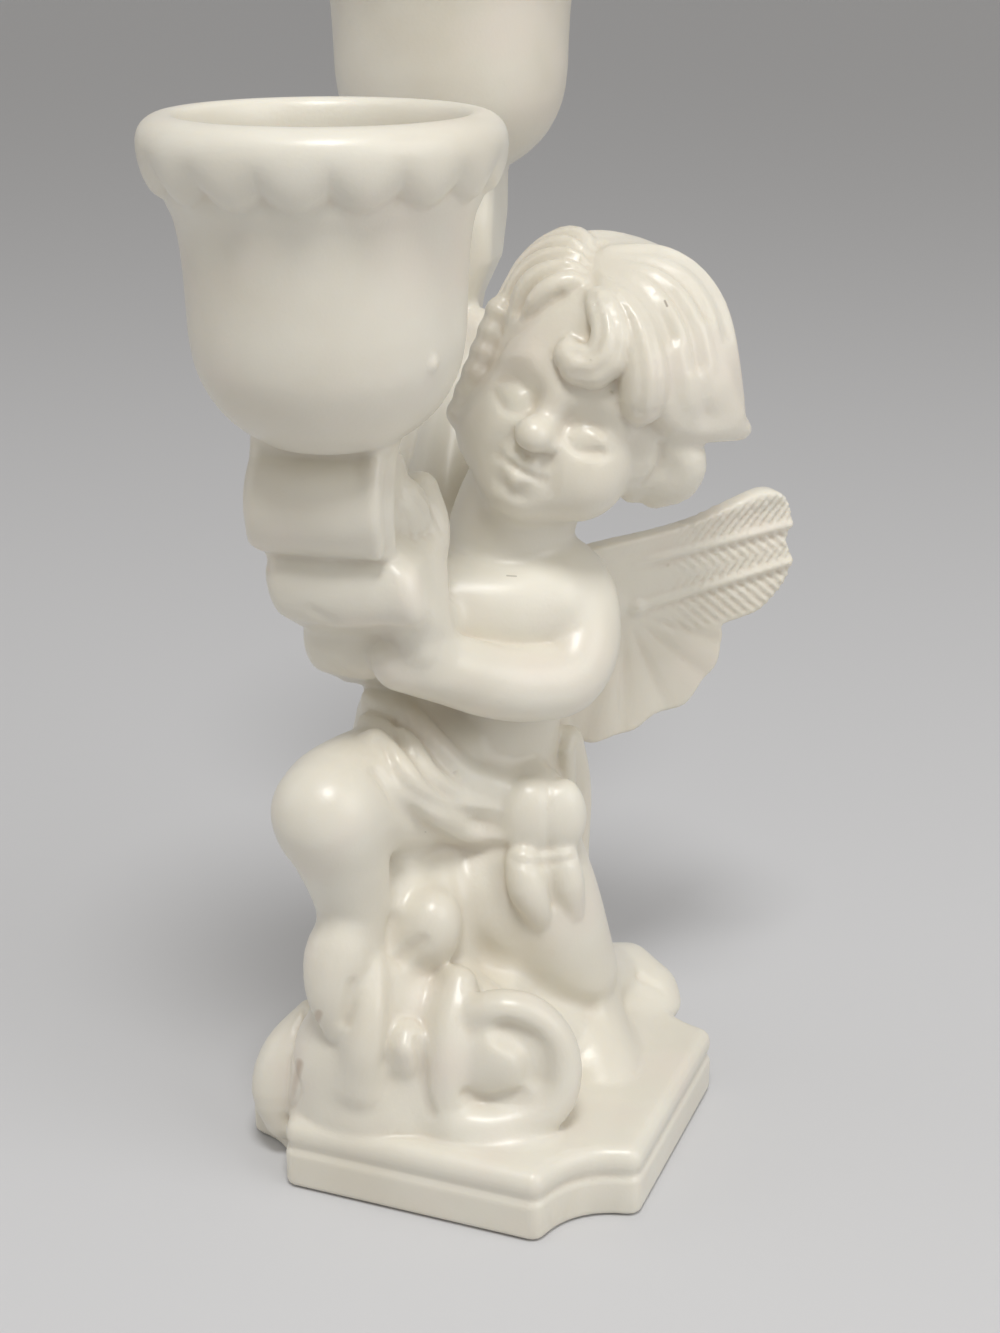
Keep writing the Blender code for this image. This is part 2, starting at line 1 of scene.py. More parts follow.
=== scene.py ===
"""Candle holder with a cherub, dressed as one casting of glazed white porcelain.

The casting is modelled as clay: a signed distance field on a regular grid, to
which round forms are added and from which hollows and creases are taken. Its
lengths are millimetres, and its heights count from the top of the plinth. The
surface of the field becomes one mesh that stands for the CAD solid.
"""

import math

import bpy
import numpy as np
import openvdb
from mathutils import Euler, Matrix, Vector


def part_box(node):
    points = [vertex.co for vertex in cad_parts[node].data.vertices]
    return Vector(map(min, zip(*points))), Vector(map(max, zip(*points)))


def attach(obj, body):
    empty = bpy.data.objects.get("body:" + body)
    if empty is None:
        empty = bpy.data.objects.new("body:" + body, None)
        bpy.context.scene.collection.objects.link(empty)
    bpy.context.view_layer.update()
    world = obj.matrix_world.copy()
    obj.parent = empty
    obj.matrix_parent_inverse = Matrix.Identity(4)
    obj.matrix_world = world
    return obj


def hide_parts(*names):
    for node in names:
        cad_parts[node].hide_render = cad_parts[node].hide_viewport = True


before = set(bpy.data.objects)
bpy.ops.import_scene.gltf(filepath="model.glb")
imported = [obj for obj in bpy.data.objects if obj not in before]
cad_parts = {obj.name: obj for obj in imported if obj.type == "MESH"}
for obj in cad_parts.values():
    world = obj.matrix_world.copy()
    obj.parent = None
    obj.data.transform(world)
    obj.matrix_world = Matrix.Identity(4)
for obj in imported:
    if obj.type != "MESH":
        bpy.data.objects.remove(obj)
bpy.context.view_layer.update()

MM = 0.001
NODE = "cherub_candle_holder"
PIECE = "porcelain_cherub_holder"
SLOT = "white_porcelain"
WORLD = Matrix.Identity(4)

# Grid of the clay: its pitch, the distance it starts from, and the room round forms and round all
STEP = 0.5
FAR = 8.0
MARGIN = 4.0
ROOM = 5.0
TOUCHING = 0.02
MOST_TRIANGLES = 190000

# The way from in front of the figure to its far side, along which details are set on the clay
INWARD = Vector((-0.34, 0.875, -0.345))
IN_FRONT = 20.0

# Plinth
PLINTH_WIDTH = 81.0
PLINTH_DEPTH = 79.0
CORNER_SCOOP_RADIUS = 14.2
LOWER_BAND_HEIGHT = 7.6
GROOVE_HEIGHT = 1.0
UPPER_MOULDING_HEIGHT = 5.4
PLINTH_CORNER = 2.6
PLINTH_HEIGHT = LOWER_BAND_HEIGHT + GROOVE_HEIGHT + UPPER_MOULDING_HEIGHT
LIFT = Vector((0.0, 0.0, PLINTH_HEIGHT))

# Candle cups
CUP_HEIGHT = 55.0
CUP_BODY_RADIUS = 23.2
CUP_LIP_RADIUS = 30.0
CUP_FLOOR = 5.0
LIP_SCALLOPS = 16
SCALLOP_RISE = 2.4
SCALLOP_PINCH = 1.1
LIP_FILLET = 0.9
FIRST_CUSP = -62.0
FRONT_CUP = (-15.0, -32.4, 131.2)
REAR_CUP = (-28.4, 54.2, 166.2)
GLAZE_PIMPLE = (6.5, -39.0, 148.0)

# Scroll branch
BRANCH_WIDTH = 24.6
SEAT_DEPTH = 5.0

# Head: in its own frame the face looks along -Y, and Z is up through the crown
HEAD_CENTRE = (16.0, 19.6, 138.6)
HEAD_TURN = (-16.5, 25.0, 0.5)
HEAD_ANGLES = Euler([math.radians(value) for value in HEAD_TURN])
HEAD = Matrix.Translation(HEAD_CENTRE) @ HEAD_ANGLES.to_matrix().to_4x4()
HAIR_CENTRE = (0.0, 2.0, 1.5)
HAIR_RADIUS = 22.5

# Wings
LEFT_WING_HEADING = 43.0
LEFT_WING_ROOT = (12.0, 28.0, 88.0)
RIGHT_WING_HEADING = 120.0
RIGHT_WING_ROOT = (-4.0, 30.0, 88.0)
BARB_PITCH = 2.2

# Colours of the glaze, and greys that say how much of a colour shows
CREAM = (0.70, 0.655, 0.555, 1.0)
PALE_CREAM = (0.775, 0.745, 0.655, 1.0)
BLUSH = (0.745, 0.69, 0.60, 1.0)
# Painted shade: a warm brown for the creases and hollows, where shade falls
CREASE_SHADE_BROWN = (0.60, 0.50, 0.37, 1.0)
NONE = (0.0, 0.0, 0.0, 1.0)
HALF = (0.55, 0.55, 0.55, 1.0)
ALL = (1.0, 1.0, 1.0, 1.0)

# Small marks in the glaze: from and to in the clay's lengths, width, strength and colour
DARK_SPECK = (0.13, 0.10, 0.07, 1.0)
BROWN_LINE = (0.42, 0.30, 0.20, 1.0)
MARKS = (
    ((31.0, 8.0, 151.9), (31.4, 8.0, 151.0), 0.28, 0.6, DARK_SPECK),
    ((-5.0, -17.8, 54.5), (-4.9, -17.8, 54.4), 0.32, 0.7, DARK_SPECK),
    ((5.2, -2.0, 101.3), (6.6, -0.9, 101.0), 0.2, 0.45, DARK_SPECK),
    ((-18.1, -38.1, 24.4), (-23.0, -38.0, 12.0), 1.0, 0.45, BROWN_LINE),
    ((-23.0, -38.0, 12.0), (-28.0, -35.0, -4.0), 1.2, 0.6, BROWN_LINE),
)

# Share of a mark's width at full strength, and how much its depth counts
MARK_CORE = 0.4
MARK_DEPTH_SHARE = 0.12

# Places of the Mix node's colour sockets, which share their names with others
MIX_UNDER = 6
MIX_OVER = 7
MIX_RESULT = 2

# Studio, in metres
FLOOR_SIZE = 60.0
FLOOR_DROP = 0.0002
FLOOR_COLOUR = (0.62, 0.62, 0.63, 1.0)
LIGHT_TARGET = (0.0, 0.0, 0.12)
SKY_COLOUR = (1.0, 0.98, 0.95, 1.0)
SKY_STRENGTH = 0.42

# Camera, found by fitting the plinth and the cups to the photograph
CAMERA_AZIMUTH = 21.25
CAMERA_PITCH = 20.18
CAMERA_DISTANCE = 371.6
CAMERA_HEIGHT = 232.7
CAMERA_SIDE = 2.84
LENS_PIXELS = 2100.0
IMAGE_HEIGHT = 1333
SENSOR = 36.0


class Clay:
    """A block of clay held as a signed distance field, negative inside."""

    def __init__(self, low, high, step):
        self.low = np.array(low, float)
        self.step = step
        count = np.ceil((np.array(high) - self.low) / step).astype(int) + 1
        self.field = np.full(tuple(count), FAR, np.float32)

    def window(self, low, high):
        """The part of the grid inside a box: its slices, and its coordinates along X, Y and Z."""
        first = np.floor((np.array(low) - self.low) / self.step).astype(int)
        last = np.ceil((np.array(high) - self.low) / self.step).astype(int) + 1
        first = np.clip(first, 0, self.field.shape)
        last = np.clip(last, 0, self.field.shape)
        lines = []
        for axis in range(3):
            line = self.low[axis] + self.step * np.arange(first[axis], last[axis])
            shape = [1, 1, 1]
            shape[axis] = -1
            lines.append(line.astype(np.float32).reshape(shape))
        return tuple(slice(a, b) for a, b in zip(first, last)), lines

    def add(self, form, soft):
        """Joins a form on, with a fillet of about the given width."""
        low, high, distance = form
        place, lines = self.window(np.array(low) - MARGIN, np.array(high) + MARGIN)
        here = self.field[place]
        other = distance(*lines)
        bridge = np.maximum(soft - np.abs(here - other), 0)
        self.field[place] = np.minimum(here, other) - bridge * bridge / (4.0 * soft)

    def ball(self, centre, radii, soft, turn=(0, 0, 0), base=WORLD):
        """Joins on a stretched ball."""
        self.add(ellipsoid(centre, radii, turn, base), soft)

    def rod(self, points, radii, soft, base=WORLD):
        """Joins on a tapered tube."""
        self.add(tube(points, radii, base), soft)

    def press(self, path, width, depth):
        """Presses a soft crease along a path. A negative depth raises a ridge."""
        reach = 2.6 * width
        low, high, distance = tube(path, [0] * len(path))
        place, lines = self.window(np.array(low) - reach, np.array(high) + reach)
        away = distance(*lines) / width
        self.field[place] += depth * np.exp(-away * away)

    def sample(self, point):
        """The field at a point, between its nearest grid points."""
        spot = (np.array(point) - self.low) / self.step
        cell = np.clip(np.floor(spot).astype(int), 0, np.array(self.field.shape) - 2)
        part = spot - cell
        total = 0.0
        for corner in range(8):
            pick = [(corner >> axis) & 1 for axis in range(3)]
            weight = np.prod([part[axis] if pick[axis] else 1 - part[axis] for axis in range(3)])
            total += weight * self.field[tuple(cell + pick)]
        return float(total)

    def touch(self, point, direction, depth=0):
        """Where a line from a point outside first meets the clay, moved on by a depth."""
        way = Vector(direction).normalized()
        spot = Vector(point)
        for _ in range(60):
            gap = self.sample(spot)
            if gap < TOUCHING:
                break
            spot = spot + way * max(TOUCHING, min(gap, MARGIN) * 0.8)
        return spot + way * depth

    def soften(self):
        """Rounds every edge a little by averaging each point with its neighbours."""
        for axis in range(3):
            ahead = np.roll(self.field, -1, axis)
            behind = np.roll(self.field, 1, axis)
            self.field = (ahead + behind + 2.0 * self.field) / 4.0

    def mesh(self, name, lift):
        """The clay's surface as a Blender mesh in metres, raised by a height in millimetres."""
        band = 3.0 * self.step
        grid = openvdb.FloatGrid(band)
        grid.copyFromArray(np.clip(self.field, -band, band).astype(np.float32))
        points, quads = grid.convertToQuads(0)
        points = (points * self.step + self.low + np.array((0, 0, lift))) * MM
        made = bpy.data.meshes.new(name)
        made.vertices.add(len(points))
        made.vertices.foreach_set("co", points.astype(np.float32).ravel())
        made.loops.add(4 * len(quads))
        made.loops.foreach_set("vertex_index", quads.astype(np.int32).ravel())
        made.polygons.add(len(quads))
        made.polygons.foreach_set("loop_start", np.arange(0, 4 * len(quads), 4, dtype=np.int32))
        made.update(calc_edges=True)
        made.validate()
        made.shade_smooth()
        return made


def on_front(clay, points, depth=0):
    """Sets points on the front of the clay, where it is met along the inward way."""
    return [clay.touch(Vector(point) - INWARD * IN_FRONT, INWARD, depth) for point in points]


def carve(clay, points, width, depth):
    """Presses a crease into the front of the clay, or raises a ridge where the depth is negative."""
    clay.press(on_front(clay, points), width, depth)


def smooth_path(points, radii, spacing=1.6):
    """Points and radii along a curve through the given ones."""
    knots = [np.array([*point, radius], float) for point, radius in zip(points, radii)]
    ends = [2 * knots[0] - knots[1]] + knots + [2 * knots[-1] - knots[-2]]
    line = []
    for index in range(1, len(ends) - 2):
        before, here, after, beyond = ends[index - 1:index + 3]
        steps = max(1, int(np.linalg.norm((after - here)[:3]) / spacing))
        for step in range(steps):
            t = step / steps
            line.append(0.5 * (2 * here + (after - before) * t
                               + (2 * before - 5 * here + 4 * after - beyond) * t * t
                               + (3 * here - before - 3 * after + beyond) * t ** 3))
    line.append(knots[-1])
    return line


def tube(points, radii, base=WORLD):
    """A round, tapered form along a smooth path with rounded ends."""
    placed = [base @ Vector(point) for point in points]
    line = smooth_path(placed, radii)
    nodes = np.array([knot[:3] for knot in line])
    sizes = np.array([max(0, knot[3]) for knot in line])
    low = (nodes - sizes[:, None]).min(0)
    high = (nodes + sizes[:, None]).max(0)

    def distance(x, y, z):
        best = np.full(np.broadcast_shapes(x.shape, y.shape, z.shape), 1e3, np.float32)
        for start, end, near, far in zip(nodes[:-1], nodes[1:], sizes[:-1], sizes[1:]):
            away = max(near, far) + MARGIN + 1.0
            lowest = np.minimum(start, end) - away
            highest = np.maximum(start, end) + away
            part = []
            for axis, values in enumerate((x, y, z)):
                flat = values.ravel()
                first = int(np.searchsorted(flat, lowest[axis]))
                last = int(np.searchsorted(flat, highest[axis]))
                part.append(slice(first, last))
            px, py, pz = x[part[0]], y[:, part[1]], z[:, :, part[2]]
            run = end - start
            square = float(run @ run) + 1e-9
            along = ((px - start[0]) * run[0] + (py - start[1]) * run[1] + (pz - start[2]) * run[2]) / square
            along = np.clip(along, 0, 1)
            dx = px - start[0] - along * run[0]
            dy = py - start[1] - along * run[1]
            dz = pz - start[2] - along * run[2]
            found = np.sqrt(dx * dx + dy * dy + dz * dz) - (near + (far - near) * along)
            block = tuple(part)
            best[block] = np.minimum(best[block], found)
        return best

    return low, high, distance


def ellipsoid(centre, radii, turn, base):
    """A ball stretched to three radii and turned by angles in degrees."""
    sizes = np.array(radii, float)
    angles = Euler([math.radians(value) for value in turn]).to_matrix()
    axes = np.array(base.to_3x3() @ angles)
    middle = np.array(base @ Vector(centre))
    extent = np.sqrt(((axes * sizes) ** 2).sum(1))

    def distance(x, y, z):
        dx, dy, dz = x - middle[0], y - middle[1], z - middle[2]
        near = 0.0
        far = 0.0
        for axis in range(3):
            along = dx * axes[0, axis] + dy * axes[1, axis] + dz * axes[2, axis]
            near = near + (along / sizes[axis]) ** 2
            far = far + (along / sizes[axis] ** 2) ** 2
        near = np.sqrt(near)
        return near * (near - 1) / np.sqrt(far + 1e-9)

    return middle - extent, middle + extent, distance


class Outline:
    """The distance to a closed flat outline, kept on a fine grid and read between its points."""

    def __init__(self, points, margin=MARGIN + 3, step=0.35):
        corners = np.array(points, float)
        self.low = corners.min(0) - margin
        self.high = corners.max(0) + margin
        self.step = step
        count = np.ceil((self.high - self.low) / step).astype(int) + 1
        u = (self.low[0] + step * np.arange(count[0]))[:, None]
        v = (self.low[1] + step * np.arange(count[1]))[None, :]
        best = np.full((count[0], count[1]), 1e6)
        inside = np.zeros((count[0], count[1]), bool)
        for start, end in zip(corners, np.roll(corners, -1, 0)):
            run = end - start
            square = float(run @ run) + 1e-12
            along = np.clip(((u - start[0]) * run[0] + (v - start[1]) * run[1]) / square, 0, 1)
            away = (u - start[0] - along * run[0]) ** 2 + (v - start[1] - along * run[1]) ** 2
            best = np.minimum(best, away)
            if start[1] != end[1]:
                crosses = (v < start[1]) != (v < end[1])
                meets = start[0] + (v - start[1]) * run[0] / run[1]
                inside ^= crosses & (u < meets)
        self.table = np.where(inside, -np.sqrt(best), np.sqrt(best)).astype(np.float32)

    def read(self, u, v):
        """The distance at each pair of coordinates."""
        u, v = np.broadcast_arrays(u, v)
        across = np.clip((u - self.low[0]) / self.step, 0, self.table.shape[0] - 1.001)
        along = np.clip((v - self.low[1]) / self.step, 0, self.table.shape[1] - 1.001)
        i = across.astype(np.int32)
        j = along.astype(np.int32)
        a = (across - i).astype(np.float32)
        b = (along - j).astype(np.float32)
        table = self.table
        lower = table[i, j] * (1 - a) + table[i + 1, j] * a
        upper = table[i, j + 1] * (1 - a) + table[i + 1, j + 1] * a
        return lower * (1 - b) + upper * b


def slab(outline, half, rounding, base, relief=None, grow=0):
    """A flat outline with a thickness and rounded edges. relief(u, v, w) thickens its faces."""
    flat = Outline(outline)
    corners = []
    for u in (flat.low[0] + MARGIN - grow, flat.high[0] - MARGIN + grow):
        for v in (flat.low[1] + MARGIN - grow, flat.high[1] - MARGIN + grow):
            for w in (-half - 1, half + 1):
                corners.append(base @ Vector((u, v, w)))
    corners = np.array(corners)
    axes = np.array(base.to_3x3())
    middle = np.array(base.translation)

    def distance(x, y, z):
        dx, dy, dz = x - middle[0], y - middle[1], z - middle[2]
        u = dx * axes[0, 0] + dy * axes[1, 0] + dz * axes[2, 0]
        v = dx * axes[0, 1] + dy * axes[1, 1] + dz * axes[2, 1]
        w = dx * axes[0, 2] + dy * axes[1, 2] + dz * axes[2, 2]
        thickness = half if relief is None else half + relief(u, v, w)
        across = flat.read(u, v) - grow + rounding
        up = np.abs(w) - thickness + rounding
        outer = np.sqrt(np.maximum(across, 0) ** 2 + np.maximum(up, 0) ** 2)
        return np.minimum(np.maximum(across, up), 0) + outer - rounding

    return corners.min(0), corners.max(0), distance


def arc(centre, radius, start, end, steps):
    """Points along a circular arc, with its angles in degrees."""
    points = []
    for step in range(steps + 1):
        angle = math.radians(start + (end - start) * step / steps)
        points.append((centre[0] + radius * math.cos(angle), centre[1] + radius * math.sin(angle)))
    return points


def round_outline(points, spacing=0.8):
    """A closed outline drawn as a smooth curve through the points."""
    closed = [(*point, 0) for point in points]
    wrapped = [closed[-1]] + closed + [closed[0], closed[1]]
    line = smooth_path(wrapped, [0] * len(wrapped), spacing)
    flat = [tuple(knot[:2]) for knot in line]
    first = min(range(len(flat)), key=lambda i: math.dist(flat[i], points[0]))
    last = max(i for i in range(len(flat)) if math.dist(flat[i], points[0]) < 1e-6)
    return flat[first:last]


def upright_frame(along, root):
    """A frame on an upright plane: X runs along it, Y is up and Z crosses it."""
    up = Vector((0, 0, 1))
    turn = Matrix((along, up, along.cross(up))).transposed().to_4x4()
    return Matrix.Translation(root) @ turn


def branch_frame():
    """The upright plane through both cup axes: X runs from the front cup to the rear cup."""
    start = Vector((*FRONT_CUP[:2], 0))
    run = Vector((*REAR_CUP[:2], 0)) - start
    return upright_frame(run.normalized(), start), run.length


def plinth(clay):
    """The lower band, a soft groove and the wide rounded moulding, with scooped corners."""
    def scooped(inset):
        half_width = PLINTH_WIDTH / 2 - inset
        half_depth = PLINTH_DEPTH / 2 - inset
        outline = []
        for side_x, side_y, turned in ((1, 1, True), (-1, 1, False), (-1, -1, True), (1, -1, False)):
            bite = []
            for degrees in range(0, 91, 6):
                angle = math.radians(degrees)
                reach = CORNER_SCOOP_RADIUS + inset
                x = side_x * (PLINTH_WIDTH / 2 - reach * math.cos(angle))
                y = side_y * (PLINTH_DEPTH / 2 - reach * math.sin(angle))
                bite.append((max(-half_width, min(half_width, x)), max(-half_depth, min(half_depth, y))))
            outline += bite[::-1] if turned else bite
        return outline

    layers = (
        (0, LOWER_BAND_HEIGHT + 0.5, 0, 1.3),
        (LOWER_BAND_HEIGHT - 1, GROOVE_HEIGHT + 3, 0.9, 0.4),
        (LOWER_BAND_HEIGHT + GROOVE_HEIGHT - 0.6, UPPER_MOULDING_HEIGHT + 0.6, 0.1, 2.8),
    )
    for foot, height, inset, rounding in layers:
        middle = Matrix.Translation((0, 0, foot + height / 2 - PLINTH_HEIGHT))
        outline = scooped(inset + PLINTH_CORNER)
        clay.add(slab(outline, height / 2, rounding, middle, grow=PLINTH_CORNER), 1)


def cup(clay, place):
    """A bell-shaped cup with a thick rolled lip whose lower edge hangs in scallops."""
    inner = CUP_BODY_RADIUS - 3.2
    body = [(0, 0), (7.5, 0.4), (13.5, 2.7), (18.6, 7.2), (21.8, 13), (23, 19), (23.3, 26),
            (23.7, 33), (24.6, 38.5), (26.2, 43), (26.2, CUP_HEIGHT - 3), (23.6, CUP_HEIGHT - 3),
            (22.4, 44), (20.8, 36), (inner, 27), (inner, 18), (18.4, 11), (14, 7),
            (8, CUP_FLOOR), (0, CUP_FLOOR)]
    mirrored = [(-across, rise) for across, rise in body[::-1]]
    wall = Outline(round_outline(body[1:-1] + mirrored[1:-1]))
    roll = [(25, 55), (27.4, 54.6), (29.3, 53), (30, 50.4), (29.8, 47.6), (28.9, 44.8),
            (27.6, 42.9), (25.6, 42.2), (24.6, 44), (23.6, 48), (23, 51.6), (23.6, 54.2)]
    lip = Outline(round_outline(roll))
    middle = np.array(place)

    def distance(x, y, z):
        dx, dy, rise = x - middle[0], y - middle[1], z - middle[2]
        across = np.sqrt(dx * dx + dy * dy)
        angle = np.arctan2(dy, dx) - math.radians(FIRST_CUSP)
        swag = np.abs(np.sin(angle * LIP_SCALLOPS / 2))
        low_down = np.clip((51.0 - rise) / 8, 0, 1)
        rise_by = (1.0 - swag) * SCALLOP_RISE * low_down
        pinch = (1.0 - swag) * SCALLOP_PINCH * low_down
        shell = wall.read(across, rise)
        hem = lip.read(across + pinch, rise - rise_by)
        bridge = np.maximum(LIP_FILLET - np.abs(shell - hem), 0)
        return np.minimum(shell, hem) - bridge * bridge / (4 * LIP_FILLET)

    reach = np.array((CUP_LIP_RADIUS, CUP_LIP_RADIUS, 0))
    clay.add((middle - reach, middle + reach + np.array((0, 0, CUP_HEIGHT)), distance), 2)


def branch(clay):
    """The broad scroll: three rolls under the front cup, a low bight, and the tall rear arm."""
    base, run = branch_frame()
    seat = FRONT_CUP[2] + SEAT_DEPTH
    rear = REAR_CUP[2] + SEAT_DEPTH
    outline = [(9, seat), (-2, seat)]
    outline += arc((2, seat - 15), 10.4, 125, 235, 12)
    outline += arc((6, seat - 30.5), 9.2, 140, 218, 10)
    outline += arc((19.5, seat - 44), 9.8, 172, 225, 8)
    outline += [(31, seat - 60), (42, seat - 63), (60, seat - 52)]
    outline += [(run - 9, seat - 20), (run - 1, seat + 6), (run + 8, rear - 14), (run + 9, rear)]
    outline += [(run - 9, rear), (run - 12, rear - 14), (run - 13, rear - 32)]
    outline += [(run - 24, seat - 22), (42, seat - 42), (28, seat - 44)]
    outline += [(17, seat - 34), (14, seat - 24)]
    outline += arc((11, seat - 14), 6.5, -60, 80, 8)

    def lean(u, v, w):
        """Moves each lower roll further to the side, and narrows the rear arm downwards."""
        in_front = np.clip((44.0 - u) / 20, 0, 1)
        shift = in_front * np.interp(v, (94, 104, 110, 114), (5, 3.6, 2.4, -1.4))
        spare = in_front * np.interp(v, (108, 115), (0, -1.6))
        behind = np.clip((u - 50) / 16, 0, 1)
        spare = spare - behind * np.interp(v, (136, 143, 150), (5.4, 4.6, 1.9))
        outer = in_front * np.interp(v, (90, 104, 112, 118), (2.5, 3.4, 3, 2.2))
        return np.where(w > 0, shift, outer - shift) + spare

    clay.add(slab(outline[::-1], BRANCH_WIDTH / 2, 3.4, base, lean), 2.5)
    rib = [(0, seat - 3), (-5.6, seat - 8), (-7.4, seat - 15), (-4.8, seat - 22)]
    clay.rod([(u + 0.5, v, 8.8) for u, v in rib], [1.2, 1.6, 1.6, 1.2], 1.8, base)
    clay.rod([(u + 4.6, v, 9.6) for u, v in rib], [1.5, 2, 2, 1.5], 1.6, base)
    for along, rise, width in ((-4.6, seat - 15, 9), (0.6, seat - 31, 9.5), (12.4, seat - 45, 9)):
        clay.ball((along, rise, 0), (4.2, 6.4, width), 2.6, base=base)
    clay.press([base @ Vector((-3.6, seat - 33.6, -3.4)), base @ Vector((-3.2, seat - 36, 0.6))], 0.8, 0.9)
    clay.press([base @ Vector((8.4, seat - 47.6, -3)), base @ Vector((9.4, seat - 50.4, -0.4))], 0.8, 0.8)


def rear_stem(clay):
    """The raised fold and the grooves on the front of the tall arm under the rear cup."""
    ridge = [(-24.6, 40, 152), (-23.6, 42, 145), (-24, 43, 139)]
    carve(clay, ridge, 1.5, -0.9)
    groove = [(-27, 39, 152.5), (-27.2, 41, 145.5), (-27.8, 42, 142)]
    carve(clay, groove, 1.1, 0.9)


def grip(clay):
    """The hand that holds the branch, and the ridged knob of the scroll over it."""
    palm = [(-8.8, -9.6, 118), (-7, -12.6, 112), (-6.2, -17, 106.4), (-5, -20.4, 100.4), (-3, -20, 93)]
    clay.rod(palm, [3.6, 5, 5.2, 5.2, 4.6], 3)
    clay.rod([(-4.6, -24, 104.6), (-3.6, -24.8, 99.6), (-3, -24.6, 93.6)], [1.8, 3, 2.8], 2)
    clay.ball((-8.4, -18.6, 116.4), (4.6, 5.6, 6.2), 1.4, (0, 0, -20))
    for ridge in range(4):
        back = 1.9 * ridge
        line = [(-8.6 + 0.6 * back, -23.4 + back, 120.6), (-5.4 + 0.6 * back, -23.4 + back, 117.6),
                (-4.2 + 0.6 * back, -22.8 + back, 113.6)]
        path = [clay.touch((x + 8, y - 8, z + 2), (-0.65, 0.7, -0.2)) for x, y, z in line]
        clay.press(path, 0.7, 1.1)


def torso(clay):
    """Hips, belly, chest and the short neck."""
    masses = (
        ((-3.5, 13, 52), (14.6, 13.5, 14), 4),
        ((-3, 17, 36), (14, 12.6, 17), 4),
        ((-2.8, 11.8, 66), (12.8, 12.6, 16.5), 4),
        ((-1.5, 13, 80), (14.4, 12.6, 15), 4),
        ((-16.8, 0.4, 67.6), (9.6, 10.6, 11.6), 5),
    )
    for centre, radii, soft in masses:
        clay.ball(centre, radii, soft)
    chest = [(-11, 12.5, 95), (-2, 9.8, 94.5), (5, 10.5, 94.5), (10, 14, 95.4)]
    clay.rod(chest, [9.5, 10.5, 10.2, 8.8], 4)
    clay.ball((0, 15, 92), (16, 12, 15), 4, (0, 8, -22))
    clay.rod([(-5.6, -0.6, 93.6), (3, 3.6, 93), (9.6, 7.8, 93)], [9.6, 9.8, 9.4], 4)
    clay.rod([(-1, 13, 99), (1.4, 12.6, 109), (5.5, 15, 119)], [12.2, 11.6, 11], 2)


def arms(clay):
    """The left arm bent across the chest to the scroll, and the right arm raised behind it."""
    left = [(9.6, 14, 95.2), (13.2, 12.4, 93), (16.2, 7.2, 86.4), (15.2, 1.4, 81.8), (10.5, -4.6, 81.6),
            (5, -10, 83.4), (-1, -16.4, 87.2), (-7, -22, 90)]
    clay.rod(left, [8.6, 8.4, 7.7, 7.3, 7, 6.8, 6.5, 5.8], 1.6)
    right = [(-10, 18, 94.5), (-17, 22, 104), (-19, 31, 116), (-19, 41, 130)]
    clay.rod(right, [8.6, 8, 7.2, 5.8], 3)
    clay.ball((-18, 43.5, 134), (6.5, 5.8, 7), 2)


def legs(clay):
    """The raised right leg, lost in the rocks below the knee, and the kneeling left leg."""
    thigh = [(-9, 6, 56), (-15, -12, 60), (-17.4, -26, 62.4), (-17.5, -33, 63)]
    clay.rod(thigh, [13, 12.4, 11.3, 10.3], 4)
    shin = [(-17, -31, 58), (-16.4, -27.4, 47), (-16.4, -26, 38), (-17, -27, 26)]
    clay.rod(shin, [9.4, 7.6, 6.6, 6.4], 2.5)
    kneeling = [(3.4, 7.6, 47), (5, 6.2, 41.5), (8.3, 6.4, 30.8), (14, 10.6, 15.8)]
    clay.rod(kneeling, [12.4, 12.4, 12.8, 9.6], 2)
    clay.rod([(12.6, 16, 11), (15, 28, 5), (18, 36, 3)], [9, 7.4, 6], 3)
    clay.ball((19, 34, 1.6), (9.6, 6.8, 5.6), 2, (0, 0, 12))
    clay.press([(14, 30.5, 7), (19, 29.5, 6.4), (24, 29.5, 5), (27, 30.5, 2.5)], 0.9, 0.9)


